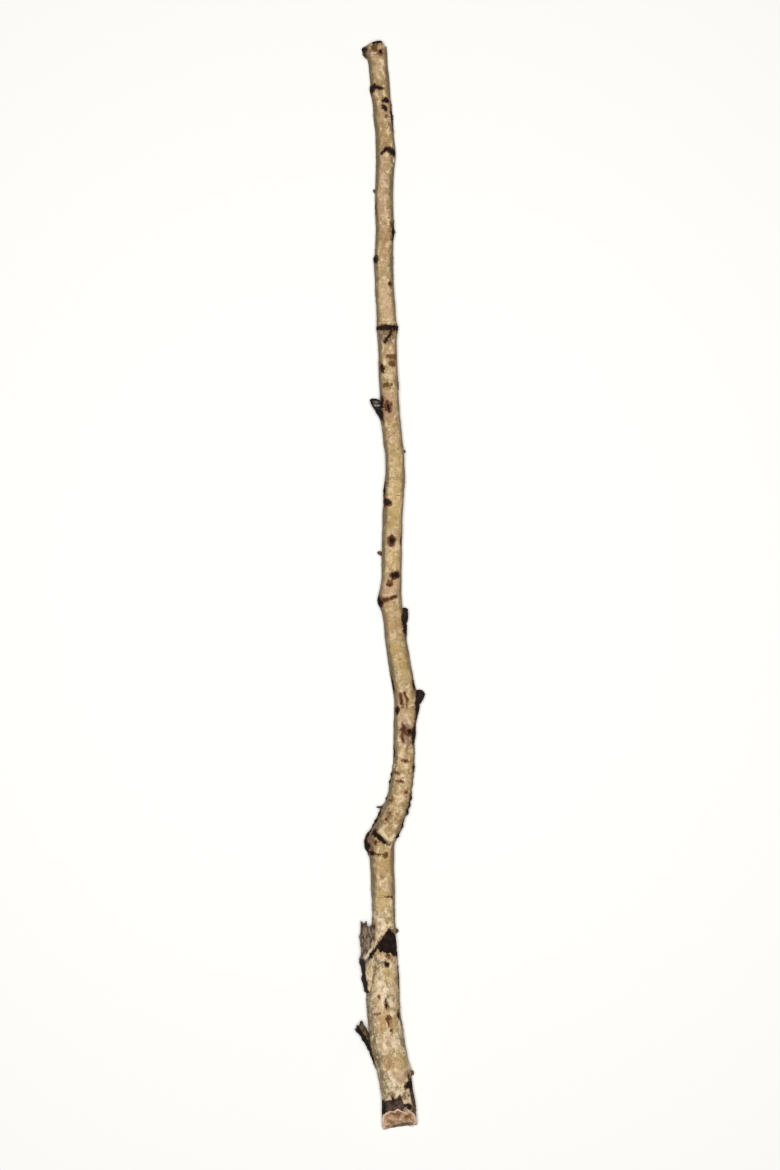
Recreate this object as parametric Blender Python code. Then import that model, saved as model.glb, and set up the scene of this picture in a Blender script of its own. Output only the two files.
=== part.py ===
"""A cut birch branch, one metre long, lying on a flat surface.

It grew as one piece, so it is one solid: a crooked stem with a thick sawn butt at -X and a thin sawn
tip at +X, the broken stubs of its side branches, and the collars, ridges and buds of its bark.
Metres, +Z up. Along is the distance from the butt's end, across is positive towards +Y, and an angle
round the stem is 0 on top, +90 on the +Y side and -90 on the -Y side.
"""

from math import cos, pi, radians, sin, tau

import bmesh
import bpy
import numpy as np
from mathutils import Matrix, Vector

LENGTH = 1.000
BUTT_RISE = 0.0170
BUTT_TURN = 0.35
BUTT_SLEW = 0.0024
TIP_SINK = 0.0022
TIP_SLEW = 0.0032
CUT_REACH = 0.060
RING_STEP = 0.0020
SIDES = 48
CAP_SHARES = (0.85, 0.55, 0.25)
SOLID_FACES = 8900

# Where the middle of the branch's box lies in along and across, and its lowest point.
MIDDLE_ALONG = 0.4998
MIDDLE_ACROSS = 0.0000
LOWEST = -0.0002

# The stem, butt to tip: along, across, radius, and how far the underside stands off the surface.
STEM = (
    (0.0000, -0.0094, 0.0171, 0.0004),
    (0.0232, -0.0077, 0.0151, 0.0000),
    (0.0544, -0.0031, 0.0148, 0.0012),
    (0.0814, 0.0024, 0.0154, 0.0006),
    (0.1130, 0.0060, 0.0150, 0.0000),
    (0.1423, 0.0051, 0.0132, 0.0010),
    (0.1762, 0.0058, 0.0110, 0.0026),
    (0.2168, 0.0064, 0.0106, 0.0036),
    (0.2461, 0.0071, 0.0109, 0.0036),
    (0.2642, 0.0070, 0.0120, 0.0028),
    (0.2799, 0.0015, 0.0117, 0.0026),
    (0.2980, -0.0068, 0.0115, 0.0020),
    (0.3160, -0.0102, 0.0109, 0.0016),
    (0.3409, -0.0131, 0.0100, 0.0010),
    (0.3657, -0.0131, 0.0101, 0.0007),
    (0.3905, -0.0139, 0.0100, 0.0008),
    (0.4085, -0.0120, 0.0098, 0.0012),
    (0.4401, -0.0065, 0.0098, 0.0028),
    (0.4694, -0.0029, 0.0096, 0.0042),
    (0.4875, -0.0004, 0.0101, 0.0046),
    (0.5054, -0.0011, 0.0098, 0.0054),
    (0.5415, -0.0020, 0.0092, 0.0064),
    (0.5766, -0.0031, 0.0091, 0.0070),
    (0.6116, -0.0049, 0.0087, 0.0076),
    (0.6490, -0.0011, 0.0089, 0.0078),
    (0.6882, 0.0014, 0.0089, 0.0076),
    (0.7379, 0.0031, 0.0087, 0.0064),
    (0.7830, 0.0058, 0.0084, 0.0054),
    (0.8340, 0.0049, 0.0085, 0.0042),
    (0.8600, 0.0055, 0.0087, 0.0032),
    (0.9003, 0.0038, 0.0086, 0.0016),
    (0.9251, 0.0056, 0.0084, 0.0008),
    (0.9504, 0.0083, 0.0084, 0.0002),
    (0.9747, 0.0104, 0.0090, 0.0000),
    (1.0000, 0.0128, 0.0093, 0.0000),
)

# Swellings round old knots and stub collars: along, angle, half length, half width, height.
SWELLINGS = (
    (0.052, -90, 0.006, 0.0050, 0.0014),
    (0.072, 84, 0.013, 0.0090, 0.0020),
    (0.124, 92, 0.016, 0.0110, 0.0012),
    (0.172, -10, 0.016, 0.0150, 0.0010),
    (0.215, 172, 0.012, 0.0100, 0.0016),
    (0.2620, 74, 0.0075, 0.0075, 0.0038),
    (0.280, -80, 0.006, 0.0060, 0.0016),
    (0.290, 92, 0.003, 0.0030, 0.0010),
    (0.331, -150, 0.009, 0.0080, 0.0008),
    (0.366, -20, 0.008, 0.0090, 0.0012),
    (0.392, -84, 0.011, 0.0070, 0.0026),
    (0.414, 86, 0.010, 0.0050, 0.0008),
    (0.462, -86, 0.010, 0.0060, 0.0016),
    (0.486, 62, 0.007, 0.0080, 0.0022),
    (0.489, 175, 0.008, 0.0100, 0.0010),
    (0.541, 8, 0.008, 0.0070, 0.0006),
    (0.577, 40, 0.007, 0.0060, 0.0008),
    (0.587, 72, 0.006, 0.0050, 0.0002),
    (0.632, 160, 0.008, 0.0070, 0.0012),
    (0.660, 84, 0.010, 0.0070, 0.0012),
    (0.736, 0, 0.006, 0.0200, 0.0008),
    (0.798, 58, 0.005, 0.0050, 0.0012),
    (0.823, -64, 0.008, 0.0050, 0.0008),
    (0.862, -165, 0.008, 0.0060, 0.0010),
    (0.898, -20, 0.006, 0.0080, 0.0010),
    (0.956, 40, 0.006, 0.0080, 0.0010),
    (0.9935, 88, 0.0065, 0.0055, 0.0040),
)

# Bark ridges, the pale lips above old branch scars. Each is an arch open towards the butt: the along and
# angle of its crown, how far its feet drop, its spread in degrees to the left and to the right, how its
# left and right arms bend, and its height.
RIDGES = (
    (0.1845, -20, 0.030, 100, 66, 1.0, 2.2, 0.0012),
    (0.2100, 176, 0.016, 60, 60, 1.3, 1.3, 0.0010),
    (0.2740, 14, 0.014, 62, 62, 1.3, 1.3, 0.0012),
    (0.7385, 0, 0.003, 105, 105, 1.3, 1.3, 0.0009),
    (0.7050, -170, 0.012, 58, 58, 1.3, 1.3, 0.0008),
    (0.9005, -13, 0.007, 46, 54, 1.3, 1.3, 0.0009),
    (0.9585, 26, 0.007, 66, 50, 1.3, 1.3, 0.0009),
    (0.4930, 10, 0.004, 70, 70, 1.3, 1.3, 0.0007),
    (0.5600, 178, 0.010, 60, 60, 1.3, 1.3, 0.0008),
    (0.3660, 170, 0.012, 60, 60, 1.3, 1.3, 0.0008),
)
RIDGE_WIDTH = 0.0022

# The bark's slow unevenness: wavelength along the stem, turns round it, phase, height.
UNEVENNESS = (
    (0.310, 1, 0.4, 0.00022),
    (0.173, 2, 2.1, 0.00030),
    (0.092, 3, 4.0, 0.00016),
    (0.051, 2, 1.3, 0.00014),
    (0.034, 4, 5.2, 0.00009),
    (0.023, 1, 3.3, 0.00010),
)

# Growth wrinkles on the bend above the kink.
WRINKLES_FROM = 0.272
WRINKLES_TO = 0.345
WRINKLE_STEP = 0.0062
WRINKLE_HEIGHT = 0.00030

BARK = (0.62, 0.46, 0.27, 0.62)
BLACK_BARK = (0.035, 0.022, 0.016, 0.75)
SAWN_WOOD = (0.40, 0.22, 0.11, 0.80)


def along_curve(rows, column, at):
    """A smooth curve through one column of the rows, read at the given distances along."""
    known = np.array([row[0] for row in rows])
    value = np.array([row[column] for row in rows])
    slope = np.gradient(value, known)
    i = np.clip(np.searchsorted(known, at) - 1, 0, len(known) - 2)
    span = known[i + 1] - known[i]
    t = (at - known[i]) / span
    rise = value[i + 1] - value[i]
    bend = (slope[i] + slope[i + 1]) * span - 2 * rise
    return value[i] + t * (slope[i] * span + t * (rise - slope[i] * span - bend + t * bend))


def stem_middle(at):
    """The points on the stem's middle line."""
    across = along_curve(STEM, 1, at)
    height = along_curve(STEM, 2, at) + along_curve(STEM, 3, at)
    return np.stack([at, across, height], axis=-1)


def turned(angle):
    """An angle brought to within half a turn of zero."""
    return (angle + pi) % tau - pi


def swelling_height(at, angle, radius):
    total = np.zeros_like(at)
    for along, degrees, half_length, half_width, height in SWELLINGS:
        away = ((at - along) / half_length) ** 2
        round_it = (turned(angle - radians(degrees)) * radius / half_width) ** 2
        total += height * np.exp(-away - round_it)
    return total


def ridge_height(at, angle):
    total = np.zeros_like(at)
    for along, degrees, drop, left, right, left_bend, right_bend, height in RIDGES:
        off = turned(angle - radians(degrees))
        share = np.abs(off) / np.radians(np.where(off > 0, left, right))
        line = along - drop * share ** np.where(off > 0, left_bend, right_bend)
        fade = np.clip(2.2 * (1 - share), 0, 1)
        total += height * fade * np.exp(-(((at - line) / RIDGE_WIDTH) ** 2))
    return total


def unevenness(at, angle):
    total = np.zeros_like(at)
    for wave, turns, phase, height in UNEVENNESS:
        total += height * np.sin(tau * at / wave + turns * angle + phase)
    return total


def wrinkles(at, angle):
    edge = 0.008
    fade = np.clip((at - WRINKLES_FROM) / edge, 0, 1) * np.clip((WRINKLES_TO - at) / edge, 0, 1)
    wave = np.sin(tau * at / WRINKLE_STEP + 0.9 * np.sin(2 * angle))
    return WRINKLE_HEIGHT * fade * wave


def stem_surface(at, angle):
    """Points of the bark at these distances along and angles round the stem."""
    step = 0.001
    middle = stem_middle(at)
    run = stem_middle(at + step) - stem_middle(at - step)
    run /= np.linalg.norm(run, axis=-1, keepdims=True)
    side = np.cross(np.array((0.0, 0.0, 1.0)), run)
    side /= np.linalg.norm(side, axis=-1, keepdims=True)
    up = np.cross(run, side)
    plain = along_curve(STEM, 2, at)
    radius = plain + swelling_height(at, angle, plain) + ridge_height(at, angle)
    radius = radius + unevenness(at, angle) + wrinkles(at, angle)
    out = np.cos(angle)[..., None] * up + np.sin(angle)[..., None] * side
    return middle + radius[..., None] * out


def butt_rise(angle):
    """How far the sawn butt lies back at each angle: far on top, hardly underneath, less on the -Y side."""
    upper = np.clip((np.cos(angle) + 0.5) / 1.25, 0, 1)
    upper = upper * upper * (3 - 2 * upper) * (1 + BUTT_TURN * np.minimum(np.sin(angle), 0))
    return BUTT_RISE * upper + BUTT_SLEW * (1 - np.sin(angle)) / 2


def stem_grid():
    """Rings of points from the sawn butt to the sawn tip. The rings near an end lean as its cut does."""
    count = round(LENGTH / RING_STEP)
    even = np.linspace(0.0, LENGTH, count + 1)
    angle = np.arange(SIDES) * tau / SIDES
    sink = TIP_SINK * (1 + np.cos(angle)) / 2 + TIP_SLEW * (1 + np.sin(angle)) / 2
    at = even[:, None] + butt_rise(angle) * np.clip(1 - even[:, None] / CUT_REACH, 0, 1)
    at = at - sink * np.clip(1 - (LENGTH - even[:, None]) / CUT_REACH, 0, 1)
    return at, np.broadcast_to(angle, at.shape)


def new_object(name, mesh_data, materials):
    mesh = bpy.data.meshes.new(name)
    mesh_data.normal_update()
    mesh_data.to_mesh(mesh)
    mesh_data.free()
    for material in materials:
        mesh.materials.append(material)
    thing = bpy.data.objects.new(name, mesh)
    bpy.context.scene.collection.objects.link(thing)
    return thing


def material(name, look):
    made = bpy.data.materials.new(name)
    made.use_nodes = True
    shader = made.node_tree.nodes["Principled BSDF"]
    shader.inputs["Base Color"].default_value = (*look[:3], 1.0)
    shader.inputs["Roughness"].default_value = look[3]
    shader.inputs["Metallic"].default_value = 0.0
    return made


def skin_rings(mesh, rings, material_index):
    """Faces between rings of vertices that follow one another."""
    count = len(rings[0])
    for lower, upper in zip(rings, rings[1:]):
        for i in range(count):
            j = (i + 1) % count
            face = mesh.faces.new((lower[i], lower[j], upper[j], upper[i]))
            face.material_index = material_index


def cap_ring(mesh, ring):
    """Closes an end of bare wood: rings that shrink to a point in the middle of the end."""
    middle = sum((vertex.co for vertex in ring), Vector()) / len(ring)
    outer = ring
    for share in CAP_SHARES:
        inner = [mesh.verts.new(middle.lerp(vertex.co, share)) for vertex in ring]
        skin_rings(mesh, (outer, inner), 2)
        outer = inner
    pith = mesh.verts.new(middle)
    for i, vertex in enumerate(outer):
        face = mesh.faces.new((vertex, outer[(i + 1) % len(outer)], pith))
        face.material_index = 2


def make_stem(name, materials):
    mesh = bmesh.new()
    at, angle = stem_grid()
    points = stem_surface(at, angle)
    rings = [[mesh.verts.new(point) for point in ring] for ring in points]
    skin_rings(mesh, rings, 0)
    cap_ring(mesh, rings[0])
    cap_ring(mesh, rings[-1])
    bmesh.ops.recalc_face_normals(mesh, faces=mesh.faces)
    return new_object(name, mesh, materials)


def stub_end(kind, turn, out, forward):
    """How far a point of a stub's last ring stands beyond a plain square end. The rings before it follow in part."""
    if kind == "torn":
        return out.length * (0.45 * sin(3 * turn + 1.0) + 0.30 * sin(7 * turn))
    if kind == "slanting":
        return out.length * (0.20 * sin(5 * turn + 1.0) - 0.40 * sin(turn))
    if kind == "sawn":
        return -(out.x + 0.65 * out.z) / forward.x
    return 0.0


def make_stub(name, route, radii, end, sides, materials):
    """A side branch's broken stub: a tapered round body along its route, which starts inside the stem."""
    steps = 5 * (len(route) - 1)
    rows = [(i, *point, radius) for i, (point, radius) in enumerate(zip(route, radii))]
    reading = np.linspace(0, len(route) - 1, steps + 1)
    middle = np.stack([along_curve(rows, column, reading) for column in (1, 2, 3)], axis=-1)
    radius = along_curve(rows, 4, reading)
    run = np.gradient(middle, axis=0)
    mesh = bmesh.new()
    rings = []
    for i in range(steps + 1):
        forward = Vector(run[i]).normalized()
        side = Vector((0, 0, 1)).cross(forward).normalized()
        up = forward.cross(side)
        ring = []
        for k in range(sides):
            turn = k * tau / sides
            wobble = 1 + 0.05 * sin(2 * turn + 3 * i / steps)
            out = (cos(turn) * up + sin(turn) * side) * radius[i] * wobble
            reach = stub_end(end, turn, out, forward) * max(0.0, 1 - (steps - i) / 5)
            ring.append(mesh.verts.new(Vector(middle[i]) + out + forward * reach))
        rings.append(ring)
    skin_rings(mesh, rings, 1)
    cap_ring(mesh, rings[0])
    cap_ring(mesh, rings[-1])
    bmesh.ops.recalc_face_normals(mesh, faces=mesh.faces)
    return new_object(name, mesh, materials)


# The side-branch stubs: name, route in along, across and height, radius at each point, end and sides.
STUBS = (
    (
        "fork_stub",
        ((0.118, 0.0106, 0.0150), (0.131, 0.0172, 0.0155), (0.160, 0.0202, 0.0160), (0.186, 0.0206, 0.0165)),
        (0.0068, 0.0072, 0.0076, 0.0068),
        "torn",
        20,
    ),
    (
        "twig_stub",
        ((0.060, 0.0030, 0.0165), (0.070, 0.0128, 0.0170), (0.084, 0.0212, 0.0180), (0.0955, 0.0286, 0.0190)),
        (0.0066, 0.0052, 0.0045, 0.0047),
        "slanting",
        14,
    ),
    (
        "knob_stub",
        ((0.3840, -0.0150, 0.0110), (0.3900, -0.0212, 0.0115), (0.3960, -0.0258, 0.0125), (0.4010, -0.0285, 0.0130)),
        (0.0066, 0.0054, 0.0048, 0.0045),
        "blunt",
        12,
    ),
    (
        "lying_stub",
        ((0.456, -0.0075, 0.0125), (0.463, -0.0110, 0.0130), (0.470, -0.0132, 0.0135), (0.4775, -0.0136, 0.0140)),
        (0.0028, 0.0034, 0.0037, 0.0031),
        "blunt",
        12,
    ),
    (
        "black_stub",
        ((0.650, 0.0020, 0.0170), (0.657, 0.0075, 0.0175), (0.663, 0.0110, 0.0180), (0.6685, 0.0134, 0.0180)),
        (0.0040, 0.0042, 0.0044, 0.0044),
        "sawn",
        14,
    ),
)

# Buds and short spurs: along, angle, length, radius at the foot, and lean towards the tip in degrees.
BUDS = (
    (0.0490, -92, 0.0022, 0.0034, 20),
    (0.1815, -90, 0.0028, 0.0026, 20),
    (0.2897, 91, 0.0044, 0.0011, -23),
    (0.3480, 128, 0.0030, 0.0022, 38),
    (0.4230, 152, 0.0030, 0.0024, 38),
    (0.5285, 88, 0.0044, 0.0022, 12),
    (0.6215, -92, 0.0018, 0.0017, 30),
    (0.6990, 140, 0.0030, 0.0022, 38),
    (0.7690, -134, 0.0034, 0.0024, 38),
    (0.8250, -84, 0.0012, 0.0022, 30),
    (0.8620, 92, 0.0020, 0.0017, 30),
    (0.9305, -74, 0.0010, 0.0019, 30),
    (0.9905, 88, 0.0012, 0.0030, 26),
)
BUD_SIDES = 10


def make_bud(index, row, materials):
    """A small blunt cone rooted in the bark."""
    along, degrees, length, radius, lean = row
    at = np.array([along])
    angle = np.array([radians(degrees)])
    foot = Vector(stem_surface(at, angle)[0])
    out = (foot - Vector(stem_middle(at)[0])).normalized()
    aim = (out * cos(radians(lean)) + Vector((1, 0, 0)) * sin(radians(lean))).normalized()
    root = 1.5 * radius
    mesh = bmesh.new()
    bmesh.ops.create_cone(
        mesh,
        cap_ends=True,
        segments=BUD_SIDES,
        radius1=radius * 1.25,
        radius2=radius * 0.45,
        depth=length + root,
    )
    turn = aim.to_track_quat("Z", "Y").to_matrix().to_4x4()
    place = Matrix.Translation(foot + aim * (length - root) / 2)
    bmesh.ops.transform(mesh, matrix=place @ turn, verts=mesh.verts)
    for face in mesh.faces:
        face.material_index = 1
    return new_object(f"bud_{index:02d}", mesh, materials)


def join_to(stem, pieces):
    """One Boolean union for each piece, which then stays in the file as a hidden helper."""
    for piece in pieces:
        piece.hide_render = True
        piece.display_type = "WIRE"
        union = stem.modifiers.new(piece.name, "BOOLEAN")
        union.operation = "UNION"
        union.solver = "EXACT"
        union.object = piece


def build():
    for old in list(bpy.data.objects):
        bpy.data.objects.remove(old, do_unlink=True)
    looks = (
        material("birch_bark", BARK),
        material("black_bark", BLACK_BARK),
        material("sawn_wood", SAWN_WOOD),
    )
    stem = make_stem("birch_branch", looks)
    pieces = [make_stub(*row, looks) for row in STUBS]
    pieces += [make_bud(index, row, looks) for index, row in enumerate(BUDS)]
    join_to(stem, pieces)

    stem_faces = 2 * SIDES * round(LENGTH / RING_STEP)
    thin = stem.modifiers.new("fewer_faces", "DECIMATE")
    thin.decimate_type = "COLLAPSE"
    thin.ratio = SOLID_FACES / stem_faces
    thin.use_collapse_triangulate = True

    place = Vector((-MIDDLE_ALONG, -MIDDLE_ACROSS, -LOWEST))
    for thing in (stem, *pieces):
        thing.location = place
        thing.data.shade_smooth()
        thing.data.set_sharp_from_angle(angle=radians(50))


build()
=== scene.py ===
"""A dry birch branch, one metre long, lying on a pale surface and seen from straight above.

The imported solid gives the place; the bark, the sawn faces, the stubs and the peeling paper are made here.
Metres, +Z up. Along is the distance from the butt's end, across is positive towards +Y, and an angle
round the stem is 0 on top, +90 on the +Y side and -90 on the -Y side.
"""

from math import cos, pi, radians, sin, tau

import bpy
import numpy as np
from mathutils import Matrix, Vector


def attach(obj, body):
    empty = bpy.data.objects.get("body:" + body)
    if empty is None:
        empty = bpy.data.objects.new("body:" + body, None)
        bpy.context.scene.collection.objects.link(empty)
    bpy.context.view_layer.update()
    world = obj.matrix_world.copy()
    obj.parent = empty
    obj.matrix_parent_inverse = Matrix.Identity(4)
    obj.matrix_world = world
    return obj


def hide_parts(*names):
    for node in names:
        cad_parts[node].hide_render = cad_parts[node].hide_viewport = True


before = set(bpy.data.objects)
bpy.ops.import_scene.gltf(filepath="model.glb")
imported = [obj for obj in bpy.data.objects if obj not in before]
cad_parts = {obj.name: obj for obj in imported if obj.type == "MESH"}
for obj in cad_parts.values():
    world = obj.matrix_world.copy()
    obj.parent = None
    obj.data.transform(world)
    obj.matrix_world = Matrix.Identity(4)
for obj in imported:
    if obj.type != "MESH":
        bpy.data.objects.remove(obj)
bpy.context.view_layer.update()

# The branch's form, as in the solid.

LENGTH = 1.000
BUTT_RISE = 0.0170
BUTT_TURN = 0.35
BUTT_SLEW = 0.0024
TIP_SINK = 0.0022
TIP_SLEW = 0.0032
TIP_WEAR = 0.0045
TIP_BELLY = 0.0015
CUT_REACH = 0.060
RIM_WAVES = ((0.0008, 5, 0.6), (0.0006, 9, 2.0), (0.0004, 17, 0.0))
MIDDLE = np.array((0.4998, 0.0000, -0.0002))

# The stem, butt to tip: along, across, radius, and how far the underside stands off the surface.
STEM = (
    (0.0000, -0.0094, 0.0171, 0.0004),
    (0.0232, -0.0077, 0.0151, 0.0000),
    (0.0544, -0.0031, 0.0148, 0.0012),
    (0.0814, 0.0024, 0.0154, 0.0006),
    (0.1130, 0.0060, 0.0150, 0.0000),
    (0.1423, 0.0051, 0.0132, 0.0010),
    (0.1762, 0.0058, 0.0110, 0.0026),
    (0.2168, 0.0064, 0.0106, 0.0036),
    (0.2461, 0.0071, 0.0109, 0.0036),
    (0.2642, 0.0070, 0.0120, 0.0028),
    (0.2799, 0.0015, 0.0117, 0.0026),
    (0.2980, -0.0068, 0.0115, 0.0020),
    (0.3160, -0.0102, 0.0109, 0.0016),
    (0.3409, -0.0131, 0.0100, 0.0010),
    (0.3657, -0.0131, 0.0101, 0.0007),
    (0.3905, -0.0139, 0.0100, 0.0008),
    (0.4085, -0.0120, 0.0098, 0.0012),
    (0.4401, -0.0065, 0.0098, 0.0028),
    (0.4694, -0.0029, 0.0096, 0.0042),
    (0.4875, -0.0004, 0.0101, 0.0046),
    (0.5054, -0.0011, 0.0098, 0.0054),
    (0.5415, -0.0020, 0.0092, 0.0064),
    (0.5766, -0.0031, 0.0091, 0.0070),
    (0.6116, -0.0049, 0.0087, 0.0076),
    (0.6490, -0.0011, 0.0089, 0.0078),
    (0.6882, 0.0014, 0.0089, 0.0076),
    (0.7379, 0.0031, 0.0087, 0.0064),
    (0.7830, 0.0058, 0.0084, 0.0054),
    (0.8340, 0.0049, 0.0085, 0.0042),
    (0.8600, 0.0055, 0.0087, 0.0032),
    (0.9003, 0.0038, 0.0086, 0.0016),
    (0.9251, 0.0056, 0.0084, 0.0008),
    (0.9504, 0.0083, 0.0084, 0.0002),
    (0.9747, 0.0104, 0.0090, 0.0000),
    (1.0000, 0.0128, 0.0093, 0.0000),
)

# Swellings round old knots and stub collars: along, angle, half length, half width, height.
SWELLINGS = (
    (0.052, -90, 0.006, 0.0050, 0.0014),
    (0.072, 84, 0.013, 0.0090, 0.0020),
    (0.124, 92, 0.016, 0.0110, 0.0012),
    (0.172, -10, 0.016, 0.0150, 0.0010),
    (0.215, 172, 0.012, 0.0100, 0.0016),
    (0.2620, 74, 0.0075, 0.0075, 0.0038),
    (0.280, -80, 0.006, 0.0060, 0.0016),
    (0.290, 92, 0.003, 0.0030, 0.0010),
    (0.331, -150, 0.009, 0.0080, 0.0008),
    (0.366, -20, 0.008, 0.0090, 0.0012),
    (0.392, -84, 0.011, 0.0070, 0.0026),
    (0.414, 86, 0.010, 0.0050, 0.0008),
    (0.462, -86, 0.010, 0.0060, 0.0016),
    (0.486, 62, 0.007, 0.0080, 0.0022),
    (0.489, 175, 0.008, 0.0100, 0.0010),
    (0.541, 8, 0.008, 0.0070, 0.0006),
    (0.577, 40, 0.007, 0.0060, 0.0008),
    (0.587, 72, 0.006, 0.0050, 0.0002),
    (0.632, 160, 0.008, 0.0070, 0.0012),
    (0.660, 84, 0.010, 0.0070, 0.0012),
    (0.736, 0, 0.006, 0.0200, 0.0008),
    (0.798, 58, 0.005, 0.0050, 0.0012),
    (0.823, -64, 0.008, 0.0050, 0.0008),
    (0.862, -165, 0.008, 0.0060, 0.0010),
    (0.898, -20, 0.006, 0.0080, 0.0010),
    (0.956, 40, 0.006, 0.0080, 0.0010),
    (0.9935, 88, 0.0065, 0.0055, 0.0040),
)

# Bark ridges over old branch scars, arches open towards the butt: along and angle of the crown, how far
# the feet drop, spread in degrees to the left and to the right, how the left and right arms bend,
# height, and how far the black reaches below the crown.
RIDGES = (
    (0.1845, -20, 0.030, 100, 66, 1.0, 2.2, 0.0012, 0.0228),
    (0.2100, 176, 0.016, 60, 60, 1.3, 1.3, 0.0010, 0.0110),
    (0.2740, 14, 0.014, 62, 62, 1.3, 1.3, 0.0012, 0.0000),
    (0.7385, 0, 0.003, 105, 105, 1.3, 1.3, 0.0009, 0.0050),
    (0.7050, -170, 0.012, 58, 58, 1.3, 1.3, 0.0008, 0.0070),
    (0.9005, -13, 0.007, 46, 54, 1.3, 1.3, 0.0009, 0.0000),
    (0.9585, 26, 0.007, 66, 50, 1.3, 1.3, 0.0009, 0.0000),
    (0.4930, 10, 0.004, 70, 70, 1.3, 1.3, 0.0007, 0.0000),
    (0.5600, 178, 0.010, 60, 60, 1.3, 1.3, 0.0008, 0.0050),
    (0.3660, 170, 0.012, 60, 60, 1.3, 1.3, 0.0008, 0.0060),
)
RIDGE_WIDTH = 0.0022

# The bark's slow unevenness: wavelength along the stem, turns round it, phase, height.
UNEVENNESS = (
    (0.310, 1, 0.4, 0.00022),
    (0.173, 2, 2.1, 0.00030),
    (0.092, 3, 4.0, 0.00016),
    (0.051, 2, 1.3, 0.00014),
    (0.034, 4, 5.2, 0.00009),
    (0.023, 1, 3.3, 0.00010),
)

WRINKLES_FROM = 0.272
WRINKLES_TO = 0.345
WRINKLE_STEP = 0.0062
WRINKLE_HEIGHT = 0.00030

# The side-branch stubs: name, route in along, across and height, radius at each point, and end.
STUBS = (
    (
        "fork_stub",
        (
            (0.118, 0.0106, 0.0150), (0.131, 0.0172, 0.0155),
            (0.160, 0.0202, 0.0160), (0.186, 0.0206, 0.0165),
        ),
        (0.0068, 0.0072, 0.0076, 0.0068),
        "torn",
    ),
    (
        "twig_stub",
        (
            (0.060, 0.0030, 0.0165), (0.070, 0.0128, 0.0170),
            (0.084, 0.0212, 0.0180), (0.0955, 0.0286, 0.0190),
        ),
        (0.0066, 0.0052, 0.0045, 0.0047),
        "slanting",
    ),
    (
        "knob_stub",
        (
            (0.384, -0.0150, 0.0110), (0.390, -0.0212, 0.0115),
            (0.396, -0.0258, 0.0125), (0.401, -0.0285, 0.0130),
        ),
        (0.0066, 0.0054, 0.0048, 0.0045),
        "blunt",
    ),
    (
        "lying_stub",
        (
            (0.456, -0.0075, 0.0125), (0.463, -0.0110, 0.0130),
            (0.470, -0.0132, 0.0135), (0.4775, -0.0136, 0.0140),
        ),
        (0.0028, 0.0034, 0.0037, 0.0031),
        "blunt",
    ),
    (
        "black_stub",
        (
            (0.650, 0.0020, 0.0170), (0.657, 0.0075, 0.0175),
            (0.663, 0.0110, 0.0180), (0.6685, 0.0134, 0.0180),
        ),
        (0.0040, 0.0042, 0.0044, 0.0044),
        "sawn",
    ),
)

# Buds and short spurs: along, angle, length, radius at the foot, and lean towards the tip in degrees.
BUDS = (
    (0.0490, -92, 0.0022, 0.0034, 20),
    (0.1815, -90, 0.0028, 0.0026, 20),
    (0.2897, 91, 0.0044, 0.0011, -23),
    (0.3480, 128, 0.0030, 0.0022, 38),
    (0.4230, 152, 0.0030, 0.0024, 38),
    (0.5285, 88, 0.0044, 0.0022, 12),
    (0.6215, -92, 0.0018, 0.0017, 30),
    (0.6990, 140, 0.0030, 0.0022, 38),
    (0.7690, -134, 0.0034, 0.0024, 38),
    (0.8250, -84, 0.0012, 0.0022, 30),
    (0.8620, 92, 0.0020, 0.0017, 30),
    (0.9305, -74, 0.0010, 0.0019, 30),
    (0.9905, 88, 0.0012, 0.0030, 26),
)

# Marks on the bark. Spots: along, angle, half length, half width, and a lean in degrees where there is one.

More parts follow.
